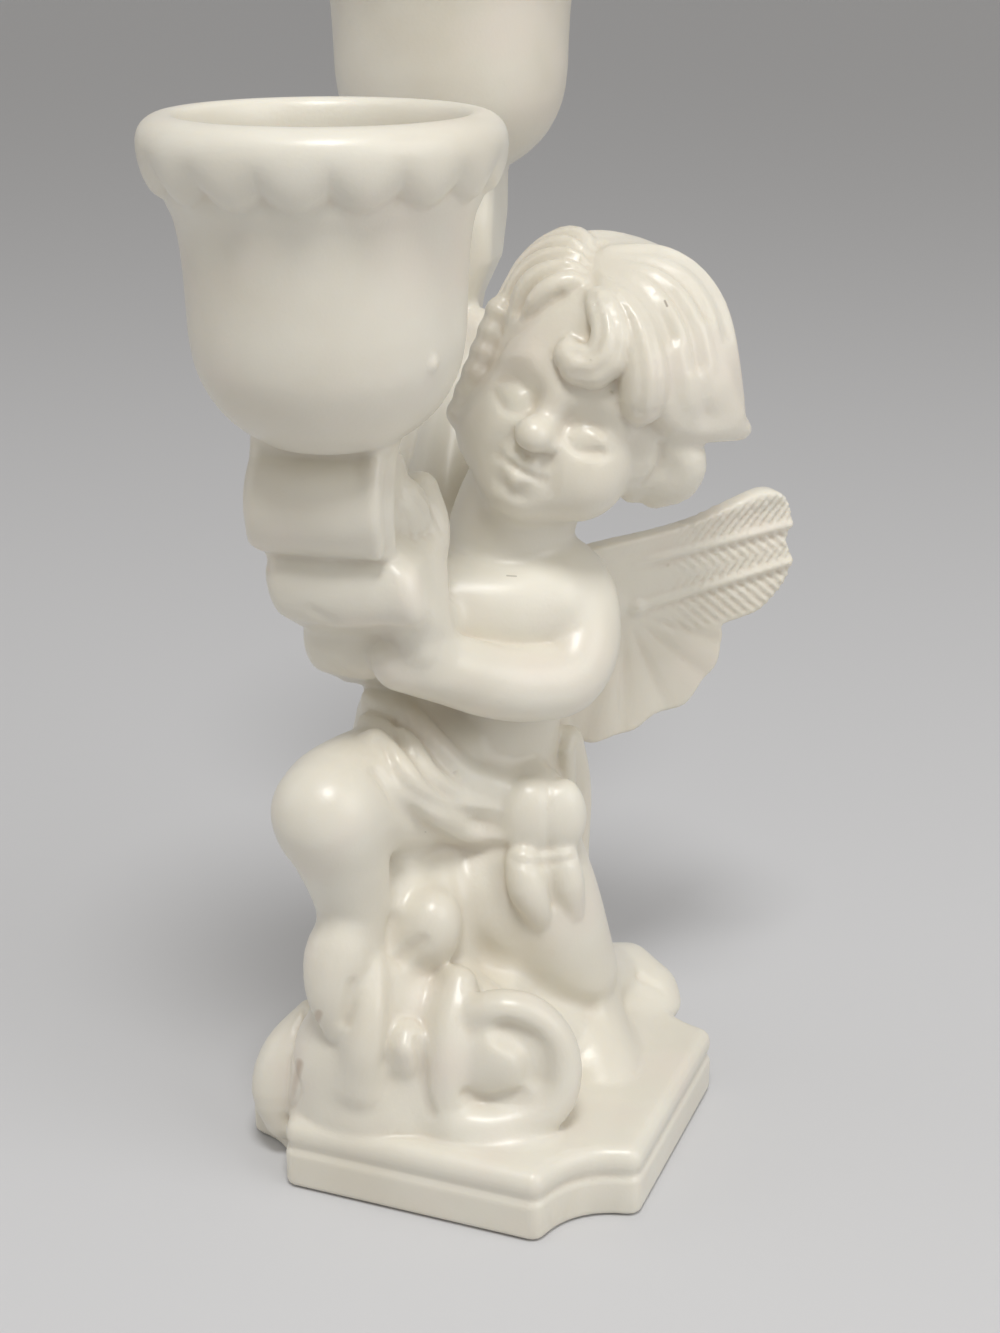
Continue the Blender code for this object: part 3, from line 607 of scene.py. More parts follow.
def drapery(clay):
    """The sash round the hips, its knot and tails, and the cloth that hangs behind."""
    clay.ball((-11, -2, 63), (11, 8, 9), 3)
    clay.ball((-2, 2, 55), (11, 8.5, 9), 3)
    clay.ball((9, 4, 54), (6.5, 5.6, 8), 3)
    folds = (
        ([(-19.6, -8.2, 75.4), (-13, -9, 73.4), (-6.6, -10.8, 69.3), (-1.2, -9.3, 63.4), (3.4, -6.5, 60.6),
          (7.4, -4.3, 59.1)], 3.2),
        ([(-19, -12.4, 72.5), (-9.9, -16, 71.1), (-5.2, -16, 65.1), (-1.4, -11.9, 59.6), (3.5, -7.9, 57.4),
          (7.5, -5.6, 56.2)], 2.6),
        ([(-13, -22, 72.8), (-8.1, -22, 67.6), (-4.8, -18.6, 61), (-1.1, -13.6, 54.6), (3.6, -10.4, 52.3),
          (7.9, -6.8, 51.1)], 3.7),
    )
    placed = [(on_front(clay, path, radius - 1.5), radius) for path, radius in folds]
    for path, radius in placed:
        clay.rod(path, [radius * share for share in (0.8, 1, 1, 1, 1, 0.9)], 1.2)
    creases = (
        ([(-13, -13, 74), (-9.9, -17.2, 71.3), (-5.1, -16.4, 65.7), (-1.2, -11.3, 59.7),
          (7, -5.6, 56.6)], 0.9),
        ([(-12, -22, 74), (-6.8, -23.5, 66.6), (-3.1, -15.4, 59.5), (1.7, -10.4, 56.6),
          (6.9, -6.2, 54.8)], 0.9),
        ([(-9.4, -28.4, 70), (-6.6, -24.6, 62.3), (-4, -16.5, 54), (1.3, -13.7, 50), (7.6, -8, 48.6)], 1.5),
    )
    for path, depth in creases:
        carve(clay, path, depth, depth)
    clay.ball((12.4, 0.4, 53), (7.4, 4.4, 7.4), 1.2, (0, 0, 32))
    clay.ball((9.4, -1.4, 53.2), (5.4, 4.2, 7.8), 1.4, (0, 0, 30))
    clay.ball((15.4, 2.4, 52.8), (4, 4.2, 7.6), 1.4, (0, 0, 30))
    left_tail = [(9.6, -5, 45.6), (11, -6.2, 41), (12.6, -5.2, 35.8), (13.2, -3.4, 31)]
    clay.rod(left_tail, [3.4, 3.8, 3, 0.9], 0.8)
    clay.ball((14.2, -1.4, 41.5), (5.4, 2.6, 6.4), 1.2, (0, 0, 42))
    right_tail = [(16, 0, 45.3), (17, -0.2, 40), (17.9, 0.6, 34)]
    clay.rod(right_tail, [3, 3.4, 2.2], 0.8)
    for path in ([(12.8, 0, 59.5), (14, -3.3, 54), (14, -2.5, 47.6)],
                 [(14.4, -2.9, 45.1), (15.2, -3.2, 36.4)],
                 [(8.4, -8, 46.9), (11.8, -6.4, 45.9), (14.1, -3.6, 45.2), (18, 1.2, 45)]):
        carve(clay, path, 0.7, 0.8)
    hanging = (
        ([(10.8, 17.1, 62.3), (10.9, 19.3, 55), (11.1, 20.4, 48), (10.5, 21.3, 34.3), (11.8, 21.7, 25.2),
          (13.5, 21.4, 14)], [3, 3.5, 3.5, 3.5, 3.8, 4]),
        ([(11.6, 14, 61), (11.4, 14.6, 51), (12.6, 14.2, 40), (13.6, 14, 31)], [1.6, 2.2, 2.4, 1.8]),
    )
    for path, radii in hanging:
        clay.rod(path, radii, 1)
    for turn in range(40, 200, 26):
        angle = math.radians(turn)
        swing = Vector((math.cos(angle), 0.8 * math.sin(angle), 0))
        middle = Vector((-3, 16, 0))
        path = [middle + swing * reach + Vector((0, 0, rise))
                for reach, rise in ((12, 64), (12.5, 50), (14, 28), (17.5, 4))]
        clay.rod(path, [2.8, 4, 4.8, 5.4], 1.4)


def rocaille(clay):
    """Shell scrolls heaped between the legs and the plinth."""
    heap = (
        ((-4, 7, 5), (25, 26, 16)), ((-5, 3, 26), (15, 14, 19)),
        ((-12, -13, 32), (9, 11, 16)), ((-8, -16, 6), (21, 18, 13)),
        ((-12, -23, 14), (11, 9.5, 16)), ((4, -12, 11), (14, 10, 12)),
        ((-14, -29, 0.5), (15, 9.2, 8)), ((-21, -25, 8), (7, 9, 11)),
        ((-27, -12, 2), (10, 14, 8)), ((19, 32, -1.5), (12, 9, 4.6)),
        ((22, 12, -2), (9, 20, 4.6)), ((8, -26, -2), (18, 9, 5)),
        ((-13.5, -21, 18), (8.5, 11, 17)), ((-4.4, -6.5, 33), (8.6, 8.5, 13)),
        ((10, -16, 8), (14, 9, 12)), ((0, -18.5, 12), (9.5, 10, 14)),
        ((-17, -28, 9), (10, 9, 11)),
    )
    for centre, radii in heap:
        clay.ball(centre, radii, 4.5)
    clay.rod([(12, 16, 7), (18, 9, 1.4), (25, 1, -5)], [9.4, 9, 8], 3)
    edge = [(0.6, -14.1, 47), (0.6, -10.4, 39), (2, -10.4, 31), (4.6, -9.6, 25.6), (10.2, -8.8, 20.8),
            (16.1, -3.1, 15.4), (21.4, 1.9, 11.7)]
    carve(clay, edge, 2.2, 2.4)
    lobe = [(-28.6, -20, 12), (-31.6, -24.6, 5.6), (-32.6, -27.2, -0.8), (-31.4, -28.4, -6.6)]
    clay.rod(lobe, [3.6, 5.4, 5.6, 4], 1.6)
    left_lump = [(-16.6, -30.6, 38), (-17.2, -31.6, 33), (-17.4, -33.6, 26.6), (-16.6, -34.4, 19.6)]
    clay.rod(left_lump, [4.8, 6.2, 4.9, 2.4], 1.6)
    right_lump = [(-10.6, -28.6, 29.4), (-10, -32.2, 24.4), (-10.4, -34.6, 17.6), (-11.6, -35, 9)]
    clay.rod(right_lump, [2.6, 3.7, 4.2, 3.6], 3.2)
    carve(clay, [(-12.9, -34, 29.6), (-13.2, -34.3, 26.1), (-13.8, -35.4, 22.4)], 1.1, 1)
    carve(clay, [(-6.4, -31, 29), (-6, -33, 22), (-6.4, -34, 15)], 1.8, 0.8)
    clay.ball((-4.6, -18, 34.8), (6.4, 6.2, 8.2), 2.6, (0, 14, 0))
    carve(clay, [(-3.6, -23.3, 34.9), (-5.2, -24, 33.2), (-7.4, -25.3, 31.2)], 1.2, 1.3)
    carve(clay, [(-9.2, -23.8, 38.5), (-9.6, -24.8, 34), (-8.6, -25.8, 30)], 1.3, 1.1)
    finger = [(3, -21, 26), (3.6, -26, 20.6), (4.1, -28.8, 14.6), (3.8, -29.6, 7.4), (3.6, -29.8, 3)]
    clay.rod(finger, [3.4, 3.7, 3.9, 3.8, 3.4], 3.2)
    clay.ball((-3.9, -30.8, 15.6), (4, 3.6, 5.6), 2)
    clay.ball((-3.2, -33.6, 17.4), (1.5, 1.1, 1.8), 1.2)
    crevice = [(-0.9, -31.5, 18.6), (-0.3, -31.7, 12.4), (0.5, -32.2, 7.7), (1.7, -32.4, 4.6)]
    carve(clay, crevice, 0.9, 1.7)
    clay.ball((14, -21.8, 12.6), (9.4, 5.6, 10.6), 2.4)
    clay.ball((11, -25.4, 14), (6.4, 4.6, 8), 3, (0, 24, 0))
    spiral = [(6.4, -24.4, 21), (8.6, -24.4, 23.2), (12.8, -23.6, 24.2), (17.8, -21.8, 22.9),
              (22, -20.6, 18.6), (24, -20.8, 12.8), (23, -22.2, 6.2), (19, -24.6, 2.6),
              (12.6, -27.8, 1.2), (6, -30.4, 1.6)]
    clay.rod(spiral, [2.6, 3.2, 3.6, 3.6, 3.4, 3.4, 3.7, 4, 4.1, 3.8], 2)
    hollow = [(14.6, -26.1, 20.6), (18, -24.8, 18.6), (19.8, -24.6, 15.8), (20.2, -24.9, 11.7)]
    carve(clay, hollow, 2.1, 4.2)
    carve(clay, [(7.8, -30.3, 8.6), (10.8, -28.2, 7.2), (14.2, -28.2, 8.2), (17.6, -26.6, 8.9)], 1, 1.2)
    collar = [(-24.4, -28.8, 19.5), (-26.5, -31.8, 14.6), (-26.3, -33.8, 9.5), (-24.3, -35.2, 4.6),
              (-26.6, -37.2, -2.3)]
    carve(clay, collar, 0.8, 0.9)


def wing_relief(u, v, _):
    """Feathers on a wing's faces, as a height over its plate."""
    far_out = np.clip((u - 13) / 12, 0, 1)
    upper = 7.4 + 0.13 * (u - 12)
    middle = -2.3 + 0.17 * (u - 9)
    from_upper = v - upper
    from_middle = v - middle
    barbs = 0.0
    for away, above, below in ((from_upper, 8, 5.4), (from_middle, 4.4, 9)):
        ridge = np.sin((u - np.abs(away) * 0.95) * (2 * math.pi / BARB_PITCH))
        reach = np.where(away > 0, above, below)
        fade = np.clip(np.abs(away) / 1.6, 0, 1) * np.clip((reach - np.abs(away)) / 1.6, 0, 1)
        barbs = barbs + ridge * fade * far_out * 0.34
    quills = np.exp(-(from_upper / 0.9) ** 2) * 0.8 + np.exp(-(from_middle / 0.9) ** 2) * 0.9
    quills = quills * np.clip((u - 6) / 8, 0, 1)
    under = np.exp(-((from_upper + 1.8) / 1.1) ** 2) + np.exp(-((from_middle + 1.8) / 1.1) ** 2)
    under = under * np.clip((u - 6) / 8, 0, 1) * 0.35
    rim = np.exp(-((v - 10.6 - 0.2 * u) / 2.2) ** 2) * 0.9
    slope = np.degrees(np.arctan2(v + 2.3, u - 6))
    fan = 0.0
    for heading, width in ((-24, 4), (-42, 4.5), (-66, 5), (-88, 5), (-108, 5)):
        fan = fan - np.exp(-((slope - heading) / width) ** 2)
    fan = fan * np.clip((np.hypot(u - 6, v + 2.3) - 3) / 8, 0, 1) * 0.55
    return barbs + quills - under + rim + fan


def wing(clay, heading, root):
    """A thin upright plate with feathers, spreading from the back in the given direction."""
    angle = math.radians(heading)
    base = upright_frame(Vector((math.cos(angle), math.sin(angle), 0)), root)
    outline = [(-9, 8.5), (-1.8, 11.3), (12.3, 12.9), (21.4, 14.5), (28.7, 16.9), (36.1, 19.2), (40.6, 17.9),
               (42.8, 14.8), (43.4, 10.7), (42.4, 8), (43.8, 3.3), (42.2, -1), (37.3, -6), (32.3, -7.6),
               (28.4, -8.6), (28.8, -11.3), (27.3, -17.1), (23.9, -20.9), (20.9, -24.4), (17.7, -25.5),
               (13.4, -26.1), (9.1, -28.8), (4.7, -29.4), (-1.1, -30), (-6, -26), (-9, -16)]
    clay.add(slab(round_outline(outline), 1.25, 0.9, base, wing_relief), 1.2)
    clay.rod([(-10, -3, 0), (4, -1, 0)], [6, 1.6], 3, base)
    clay.ball((9, -2.3, 0), (2, 1.8, 2.2), 1.2, base=base)


def dome(longitude, latitude, lift=0):
    """A point over the hair: degrees from the face towards the head's left, then degrees up."""
    around = math.radians(longitude)
    up = math.radians(latitude)
    reach = HAIR_RADIUS + lift
    middle = Vector(HAIR_CENTRE)
    spoke = Vector((math.sin(around) * math.cos(up), -math.cos(around) * math.cos(up), math.sin(up)))
    return HEAD @ (middle + spoke * reach)


def lock(clay, path, radii, soft):
    """A lock of hair along a path of longitude, latitude and lift."""
    clay.rod([dome(*place) for place in path], radii, soft)


def furrow(clay, path, width, depth):
    """A crease pressed into the hair along a path of longitude and latitude."""
    middle = HEAD @ Vector(HAIR_CENTRE)
    line = []
    for knot in smooth_path([(*place[:2], 0) for place in path], [0] * len(path), 4):
        above = dome(knot[0], knot[1], 12)
        line.append(clay.touch(above, middle - above))
    clay.press(line, width, depth)


def between(first, second):
    """The path midway between two others."""
    return [tuple(a + (b - a) * 0.5 for a, b in zip(one, other)) for one, other in zip(first, second)]


def face(clay):
    """A plain round child's face, its features set out on the usual proportions of an infant."""
    ahead = HEAD.to_3x3() @ Vector((0, 1, 0))

    def lump(centre, radii, soft):
        clay.ball(centre, radii, soft, base=HEAD)

    def on_skin(points, depth=0):
        """Sets points of X and Z on the skin of the face."""
        return [clay.touch(HEAD @ Vector((x, -34, z)), ahead, depth) for x, z in points]

    def crease(points, width, depth):
        clay.press(on_skin(points), width, depth)

    lump((0, 1, 0.5), (20.6, 20.6, 20.6), 2)
    lump((0, -3.5, -4), (16.4, 15.6, 15), 3)
    lump((0, -5.5, -13.5), (16, 13.6, 18.6), 4)
    lump((0, -12.4, -27.4), (6.6, 5.2, 5.2), 5)
    for side in (-1, 1):
        lump((side * 8.4, -9.6, -20), (8.2, 8.6, 8.6), 4)
    for side in (-1, 1):
        crease([(side * 4.6, -11.4), (side * 8.5, -11.8)], 3.4, 1.3)
        crease([(side * 3.6, -12.6)] * 2, 1.8, 1.5)
        crease([(side * 3.2, -7.8), (side * 8, -6), (side * 13, -8.4)], 2.2, -0.6)
        lid = on_skin([(side * 7.4, -13.6)], 2.3)[0]
        clay.ball(tuple(lid), (4.6, 2.9, 2.9), 1.2)
    bridge = on_skin([(0, -9), (0, -12.6)], 1.2) + [HEAD @ Vector((0, -18.8, -15.4))]
    clay.rod(bridge, [1.6, 1.8, 2], 2.6)
    lump((-0.3, -20.6, -17.2), (3.5, 3.2, 3.2), 1.4)
    for side in (-1, 1):
        lump((side * 2.7, -18.6, -17.6), (1.7, 2, 1.6), 0.7)
        clay.press([HEAD @ Vector((side * 1.2, -20.6, -19.2))] * 2, 0.7, 0.5)
        lid_line = [(side * 3.9, -14.8), (side * 7.4, -16.1), (side * 11.2, -14.2)]
        crease(lid_line, 0.7, 0.75)
        lid_line = [(side * 3.6, -13.2), (side * 5.4, -11.3), (side * 8, -10.6), (side * 11.4, -12.2)]
        crease(lid_line, 0.7, 0.5)
        fold = [(side * 3.8, -19.4), (side * 5.6, -21.8), (side * 6.6, -24.6)]
        crease(fold, 1.3, 0.35)
    lump((0, -15.2, -23.4), (5.2, 3.8, 3.8), 2)
    upper_lip = [(-3.4, -23.5), (-1.6, -22.4), (0, -22.8), (1.6, -22.4), (3.4, -23.5)]
    clay.rod(on_skin(upper_lip, 0.5), [0.5, 1.2, 1, 1.2, 0.5], 0.8)
    clay.rod(on_skin([(-2.4, -24.8), (0, -25.4), (2.4, -24.8)], 0.6), [0.7, 1.6, 0.7], 0.8)
    crease([(-4.2, -23.7), (-2, -23.9), (0, -24), (2, -23.9), (4.2, -23.7)], 0.6, 0.8)
    crease([(-2.4, -28.2), (2.4, -28.2)], 1.2, 0.6)
    crease([(0, -20.2), (0, -21.4)], 0.7, 0.35)
    for side in (-1, 1):
        crease([(side * 4.5, -23.6)] * 2, 1, 0.6)


def hair(clay):
    """Short hair combed from a side parting, with a curl on the brow and a flick over the ear."""
    clay.ball((0, 2.6, 1.6), (21.6, 20.8, 21), 1.2, base=HEAD)
    fall = ((0, 88, -4.4), (2, 70, -4.2), (5, 50, -3.9), (-3, 26, -3.5), (4, 2, -3.2), (-2, -20, -3.2),
            (2, -34, -3.8))
    behind = [[(heading + aside, rise, lift) for aside, rise, lift in fall]
              for heading in range(97, 290, 17)]
    for path in behind:
        lock(clay, path, [1.4, 2.8, 3.6, 4.2, 4, 3.4, 2], 1)
    for path in behind[:-1]:
        furrow(clay, [(lon + 8.5, lat) for lon, lat, _ in path[1:]], 1, 0.5)
        furrow(clay, path[2:], 0.7, 0.35)
    left_side = (
        ([(-40, 45, -2.4), (-63, 43, -1.4), (-78, 33, -1), (-86, 18, -1), (-90, 2, -1.4)],
         [1.4, 2.6, 3, 2.8, 2.4]),
        ([(-35, 41, -2.4), (-49, 37, -1.3), (-64, 28, -0.9), (-73, 15, -1), (-76, 0, -1.6)],
         [1.4, 2.4, 2.8, 2.6, 2.2]),
        ([(-29, 36, -2.2), (-41, 31, -1.1), (-52, 22, -0.8), (-59, 10, -0.9), (-61, -1, -1.6),
          (-61, -12, -2), (-62, -24, -3)], [1.4, 2.3, 2.6, 2.5, 2.4, 2.2, 1.8]),
        ([(-26, 30, -2.2), (-35, 25, -1), (-43, 16, -0.7), (-47, 7, -0.8), (-49, -3, -1.8), (-51, -13, -2.4),
          (-55, -24, -3.4)], [1.4, 2.2, 2.6, 2.4, 2.2, 2, 1.6]),
        ([(-20, 27, -2.6), (-27, 22, -1.7), (-32, 14, -1.3), (-36, 5, -1.5), (-39, -5, -2.2)],
         [1.4, 2.3, 2.7, 2.5, 1.6]),
    )
    for path, radii in left_side:
        lock(clay, path, radii, 0.5)
    for upper, lower in zip(left_side[:-1], left_side[1:]):
        furrow(clay, between(upper[0], lower[0]), 0.9, 0.8)
    for path, radii in left_side[:-1]:
        furrow(clay, path[1:], 0.6, 0.4)
    furrow(clay, [(-25, 12), (-31, 1), (-37, -11), (-43, -16), (-46, -24)], 1.1, 0.8)
    for turn in range(6):
        centre = (-19.4 + 0.6 * turn, -7.0 - 0.3 * turn, -2.0 - 3.9 * turn)
        clay.ball(centre, (2.9, 4.8, 2.7), 1.8, (0, 20, 0), base=HEAD)
    swept = (
        ([(-31, 46, -2.5), (2, 65, -2.4), (43, 62, -1.8), (60, 49, -1.2), (66, 36, -0.6), (70, 22, 0.6),
          (80, 8, 2.8)], [1.6, 2.6, 3.2, 3.4, 3.4, 3.2, 2.4]),
        ([(-28, 43, -2.5), (9, 57, -2.4), (37, 54, -1.8), (53, 41, -1.2), (60, 27, -0.6), (66, 13, 0.8),
          (78, 3, 3.4)], [1.6, 2.6, 3.2, 3.4, 3.6, 3.6, 2.8]),
        ([(-25, 41, -2.5), (5, 47, -2.2), (29, 43, -1.6), (44, 32, -1), (53, 18, -0.2), (62, 6, 0.6),
          (74, -3, 2.2)], [1.6, 2.6, 3, 3.2, 3.4, 3.6, 3]),
        ([(-22, 38, -2.5), (4, 39, -2), (22, 33, -1.4), (36, 23, -0.9), (45, 10, -0.3), (54, -1, 0.3),
          (65, -8, 1)], [1.6, 2.4, 2.8, 3, 3.2, 3.4, 2.8]),
        ([(-18, 35, -2.5), (3, 33, -2), (19, 26, -1.6), (30, 16, -1.2), (38, 5, -0.9), (46, -5, -0.5),
          (57, -10, 0.2)], [1.6, 2.2, 2.5, 2.6, 2.8, 2.8, 2.4]),
    )
    for path, radii in swept:
        lock(clay, path, radii, 1.2)
    flick = [dome(66, 8, 0.6), dome(78, 0, 3.6), dome(88, -1, 6.4)]
    clay.rod(flick, [3.6, 3.2, 1.4], 2)
    hem = [(46, -9, -0.6), (57, -12, 0), (67, -10, 1.2), (76, -5, 3.2), (86, -2, 6)]
    lock(clay, hem, [2.6, 3.2, 3.2, 3, 1.8], 2)
    for index, (upper, lower) in enumerate(zip(swept[:-1], swept[1:])):
        furrow(clay, between(upper[0], lower[0])[:-2 - index % 2], 1.4, 0.9 + 0.3 * (index % 2))
        furrow(clay, upper[0][1:4 + index % 2], 0.6, 0.35)
    brow_lock = [(-12, 27, -2.2), (3, 24, -1.2), (15, 18, -0.6), (23, 9, -0.2), (30, -1, 0.2), (36, -12, 0),
                 (41, -22, -1.6)]
    lock(clay, brow_lock, [1.6, 2.6, 3.2, 3.8, 4.4, 4, 1.6], 0.5)
    for share in (-3, 3):
        furrow(clay, [(lon + share, lat + 0.6 * share) for lon, lat, _ in brow_lock[1:-1]], 0.7, 0.4)
    curl = [(-13, 23, -2.4), (-3, 18, -1), (4, 12, -0.4), (9, 5, 0), (11, -2, 0.2), (8, -8, 0.3),
            (2, -10, 0.3), (-4, -9, 0), (-7, -6, -0.8)]
    lock(clay, curl, [1.8, 3, 3.6, 3.9, 4, 4, 3.8, 3, 1.8], 0.5)
    furrow(clay, [(-8, 18), (0, 12), (5, 5), (6, -1), (3, -5), (-2, -6)], 0.7, 0.7)
    furrow(clay, [(-4, 20), (6, 13), (11, 6), (13, -2), (9, -10), (2, -13)], 0.7, 0.55)
    clay.press([dome(-3, 3, 0)] * 2, 1.6, 1.1)
    parting = [(-42, 50), (-39, 47), (-30, 38), (-21, 31), (-14, 26)]
    furrow(clay, parting, 1.1, 1.2)
    nape = (
        ([(70, -34, -2.6), (88, -44, -1.6), (104, -46, -0.6)], [3, 3.6, 2.4]),
        ([(84, -14, -2), (98, -26, -1), (108, -36, 0.4)], [3, 3.6, 2.4]),
    )
    for path, radii in nape:
        lock(clay, path, radii, 0.6)
        furrow(clay, path[:-1], 0.7, 0.5)
    curls = (
        ([(27.6, 9, 127.4), (26, 10, 121.4), (24.2, 13, 115.6)], [3.2, 3.8, 2.4]),
        ([(30.4, 11.4, 127), (33.8, 13.6, 122.6), (32.4, 14.6, 117.8), (28, 15, 114.8)],
         [3.4, 3.9, 3.8, 2.8]),
    )
    for path, radii in curls:
        clay.rod(path, radii, 1.8)
    clay.ball((28.6, 14, 121.4), (5, 5, 7), 2)
    carve(clay, [(30.6, 9, 125.4), (30, 9.6, 121.4), (27, 10, 117.6)], 0.8, 0.7)


def sculpt():
    """Builds the whole figure in clay, from the body outwards."""
    low, high = (Vector(corner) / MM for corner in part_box(NODE))
    margin = Vector((ROOM, ROOM, ROOM))
    clay = Clay(low - margin - LIFT, high + margin - LIFT, STEP)
    for form in (torso, legs, rocaille, drapery, branch, arms, grip, rear_stem):
        form(clay)
    clay.soften()
    wing(clay, LEFT_WING_HEADING, LEFT_WING_ROOT)
    wing(clay, RIGHT_WING_HEADING, RIGHT_WING_ROOT)
    cup(clay, FRONT_CUP)
    clay.ball(GLAZE_PIMPLE, (0.9, 0.9, 1.1), 1.2)
    cup(clay, REAR_CUP)
    face(clay)
    hair(clay)
    plinth(clay)
    return clay


class Finish:
    """Builds the glaze's colour node by node, in the object's frame."""

    def __init__(self, material):
        self.nodes = material.node_tree.nodes
        self.links = material.node_tree.links
        self.place = self.nodes.new("ShaderNodeTexCoord").outputs["Object"]
        self.colour = None

    def fill(self, node, inputs):
        """Links each input of a node to a socket, or sets it to a value."""
        for name, value in inputs.items():
            if isinstance(value, bpy.types.NodeSocket):
                self.links.new(value, node.inputs[name])
            else:
                node.inputs[name].default_value = value

    def node(self, kind, inputs, output, **settings):
        """An output of a new node, with its settings made and its inputs filled."""
        made = self.nodes.new(kind)
        for name, value in settings.items():
            setattr(made, name, value)
        self.fill(made, inputs)
        return made.outputs[output]

    def noise(self, scale, detail):
        inputs = {"Vector": self.place, "Scale": scale, "Detail": detail}
        return self.node("ShaderNodeTexNoise", inputs, "Fac")

    def number(self, operation, value, other):
        return self.node("ShaderNodeMath", {0: value, 1: other}, "Value", operation=operation)

    def vector(self, operation, value, other, output):
        return self.node("ShaderNodeVectorMath", {0: value, 1: other}, output, operation=operation)

    def along(self, offset, way):
        """How far an offset reaches along a way."""
        return self.vector("DOT_PRODUCT", offset, way, "Value")

    def span(self, value, low, high, first, last):
        """A number turned from one range into another, and held inside it."""
        ranges = {"From Min": low, "From Max": high, "To Min": first, "To Max": last}
        return self.node("ShaderNodeMapRange", {"Value": value, **ranges}, "Result")

    def ramp(self, value, low, high, first, last):
        """A value spread between two colours."""
        spread = self.nodes.new("ShaderNodeValToRGB")
        for element, position, colour in zip(spread.color_ramp.elements, (low, high), (first, last)):
            element.position = position
            element.color = colour
        self.links.new(value, spread.inputs["Fac"])
        return spread.outputs["Color"]

    def stain_or_shade(self, amount, colour):
        """Blends a colour over what is there by an amount from 0 to 1; used for stains and marks, and for
        painted shade in the creases.
        """
        inputs = {"Factor": amount, MIX_UNDER: self.colour, MIX_OVER: colour}
        self.colour = self.node("ShaderNodeMix", inputs, MIX_RESULT, data_type="RGBA")

    def streak(self, start, end, width, strength):
        """A mark as seen from the front: strength on the line between two points, 0 beyond its width."""
        start = (Vector(start) + LIFT) * MM
        run = (Vector(end) + LIFT) * MM - start
        offset = self.vector("SUBTRACT", self.place, start, "Vector")
        side = run.cross(INWARD)
        rise = INWARD.cross(side).normalized()
        side = side.normalized()
        length = run.dot(rise)
        share = self.number("DIVIDE", self.along(offset, rise), length)
        share = self.number("MAXIMUM", self.number("MINIMUM", share, 1), 0)
        past = self.number("SUBTRACT", self.along(offset, rise), self.number("MULTIPLY", share, length))
        deep = self.number("MULTIPLY", self.along(offset, INWARD), MARK_DEPTH_SHARE)
        parts = {"X": past, "Y": self.along(offset, side), "Z": deep}
        apart = self.node("ShaderNodeCombineXYZ", parts, "Vector")
        away = self.node("ShaderNodeVectorMath", {0: apart}, "Value", operation="LENGTH")
        return self.span(away, width * MARK_CORE * MM, width * MM, strength, 0)


def porcelain():
    """Satin-glazed white porcelain: a warm body, faint stains, painted shade in its creases, a few specks
    and scratches, a fine grain.
    """
    material = bpy.data.materials.new(SLOT)
    material.use_nodes = True
    finish = Finish(material)
    cloud = finish.noise(30, 4)
    finish.colour = finish.ramp(cloud, 0.35, 0.68, CREAM, PALE_CREAM)
    finish.stain_or_shade(finish.ramp(finish.noise(55, 2), 0.52, 0.72, NONE, ALL), BLUSH)
    # Painted shade: a warm brown darkens the creases and hollows, where the surface's pointiness is low
    creases = finish.nodes.new("ShaderNodeNewGeometry").outputs["Pointiness"]
    finish.stain_or_shade(finish.ramp(creases, 0.42, 0.495, HALF, NONE), CREASE_SHADE_BROWN)
    for start, end, width, strength, colour in MARKS:
        finish.stain_or_shade(finish.streak(start, end, width, strength), colour)
    grain = {"Strength": 0.14, "Distance": 0.0002, "Height": finish.noise(1300, 2)}
    finish.fill(finish.nodes["Principled BSDF"], {
        "Base Color": finish.colour,
        "Normal": finish.node("ShaderNodeBump", grain, "Normal"),
        "Roughness": finish.span(cloud, 0, 1, 0.30, 0.44),
        "IOR": 1.5,
        "Coat Weight": 0.2,
        "Coat Roughness": 0.24,
        "Subsurface Weight": 0.25,
        "Subsurface Scale": 0.0025,
        "Subsurface Radius": (1, 0.85, 0.6),
    })
    return material


def outer_skin(piece):
    """Leaves the piece's outer skin and drops the small closed hollows inside it."""
    bpy.ops.object.select_all(action="DESELECT")
    piece.select_set(True)
    bpy.context.view_layer.objects.active = piece
    bpy.ops.mesh.separate(type="LOOSE")
    shells = sorted(bpy.context.selected_objects, key=lambda shell: len(shell.data.polygons))
    for hollow in shells[:-1]:
        bpy.data.objects.remove(hollow)
    shells[-1].name = PIECE
    return shells[-1]


def cast_piece():
    """Makes the mesh from the clay and puts it in the place of the CAD solid."""
    mesh = sculpt().mesh(PIECE, PLINTH_HEIGHT)
    piece = bpy.data.objects.new(PIECE, mesh)
    bpy.context.scene.collection.objects.link(piece)
    thin = piece.modifiers.new("thin", "DECIMATE")
    thin.ratio = min(1, MOST_TRIANGLES / (2 * len(mesh.polygons)))
    bpy.context.view_layer.update()
    graph = bpy.context.evaluated_depsgraph_get()
    final = bpy.data.meshes.new_from_object(piece.evaluated_get(graph))
    piece.modifiers.clear()
    piece.data = final
    piece = outer_skin(piece)
    piece.data.shade_smooth()
    piece.data.materials.clear()
    piece.data.materials.append(porcelain())
    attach(piece, "root")
    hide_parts(NODE)


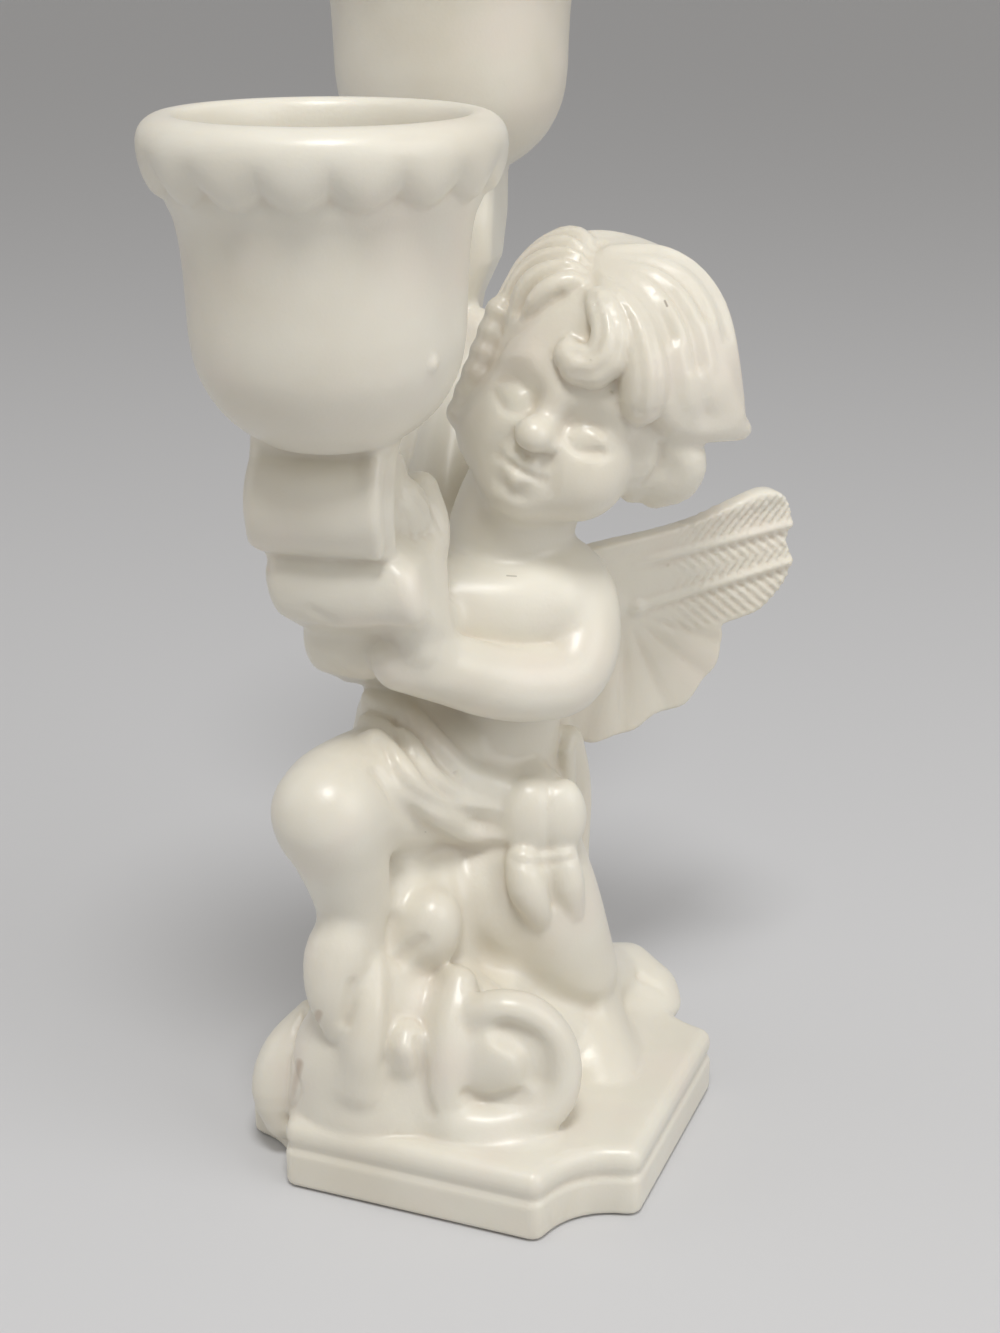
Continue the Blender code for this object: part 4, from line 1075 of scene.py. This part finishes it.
def floor():
    """A plain pale floor, wide enough to reach past the picture."""
    bpy.ops.mesh.primitive_plane_add(size=FLOOR_SIZE, location=(0, 0, -FLOOR_DROP))
    plane = bpy.context.object
    plane.name = "floor"
    material = bpy.data.materials.new("pale_floor")
    material.use_nodes = True
    shader = material.node_tree.nodes["Principled BSDF"]
    shader.inputs["Base Color"].default_value = FLOOR_COLOUR
    shader.inputs["Roughness"].default_value = 0.7
    plane.data.materials.append(material)


def area_light(name, place, size, power):
    """A round, soft lamp that faces the object."""
    lamp = bpy.data.lights.new(name, "AREA")
    lamp.shape = "DISK"
    lamp.size = size
    lamp.energy = power
    item = bpy.data.objects.new(name, lamp)
    item.location = place
    item.rotation_mode = "QUATERNION"
    item.rotation_quaternion = (Vector(LIGHT_TARGET) - Vector(place)).to_track_quat("-Z", "Y")
    bpy.context.scene.collection.objects.link(item)


def lights():
    """A key light from above the front, a weak fill on each side, and a pale sky."""
    area_light("key", (0.22, -0.48, 1.12), 0.32, 6.6)
    area_light("left_fill", (-0.9, -0.35, 0.5), 0.8, 1)
    area_light("right_fill", (0.85, -0.15, 0.6), 0.8, 2.8)
    world = bpy.data.worlds.new("studio")
    world.use_nodes = True
    sky = world.node_tree.nodes["Background"]
    sky.inputs["Color"].default_value = SKY_COLOUR
    sky.inputs["Strength"].default_value = SKY_STRENGTH
    bpy.context.scene.world = world


def camera():
    """The photograph's viewpoint: azimuth round the object, pitch below the horizon."""
    around = math.radians(CAMERA_AZIMUTH)
    pitch = math.radians(CAMERA_PITCH)
    back = Vector((math.sin(around), -math.cos(around), 0))
    right = Vector((math.cos(around), math.sin(around), 0))
    up = Vector((0, 0, 1))
    view = -back * math.cos(pitch) - up * math.sin(pitch)
    lens = bpy.data.cameras.new("camera")
    lens.sensor_width = SENSOR
    lens.lens = SENSOR * LENS_PIXELS / IMAGE_HEIGHT
    lens.clip_start = 0.01
    item = bpy.data.objects.new("camera", lens)
    item.location = (back * CAMERA_DISTANCE + right * CAMERA_SIDE + up * CAMERA_HEIGHT) * MM
    item.rotation_mode = "QUATERNION"
    turn = Matrix((right, right.cross(view), -view)).transposed()
    item.rotation_quaternion = turn.to_quaternion()
    bpy.context.scene.collection.objects.link(item)
    bpy.context.scene.camera = item


bpy.context.scene.view_settings.view_transform = "Standard"
camera()
floor()
lights()
cast_piece()
bpy.context.view_layer.update()
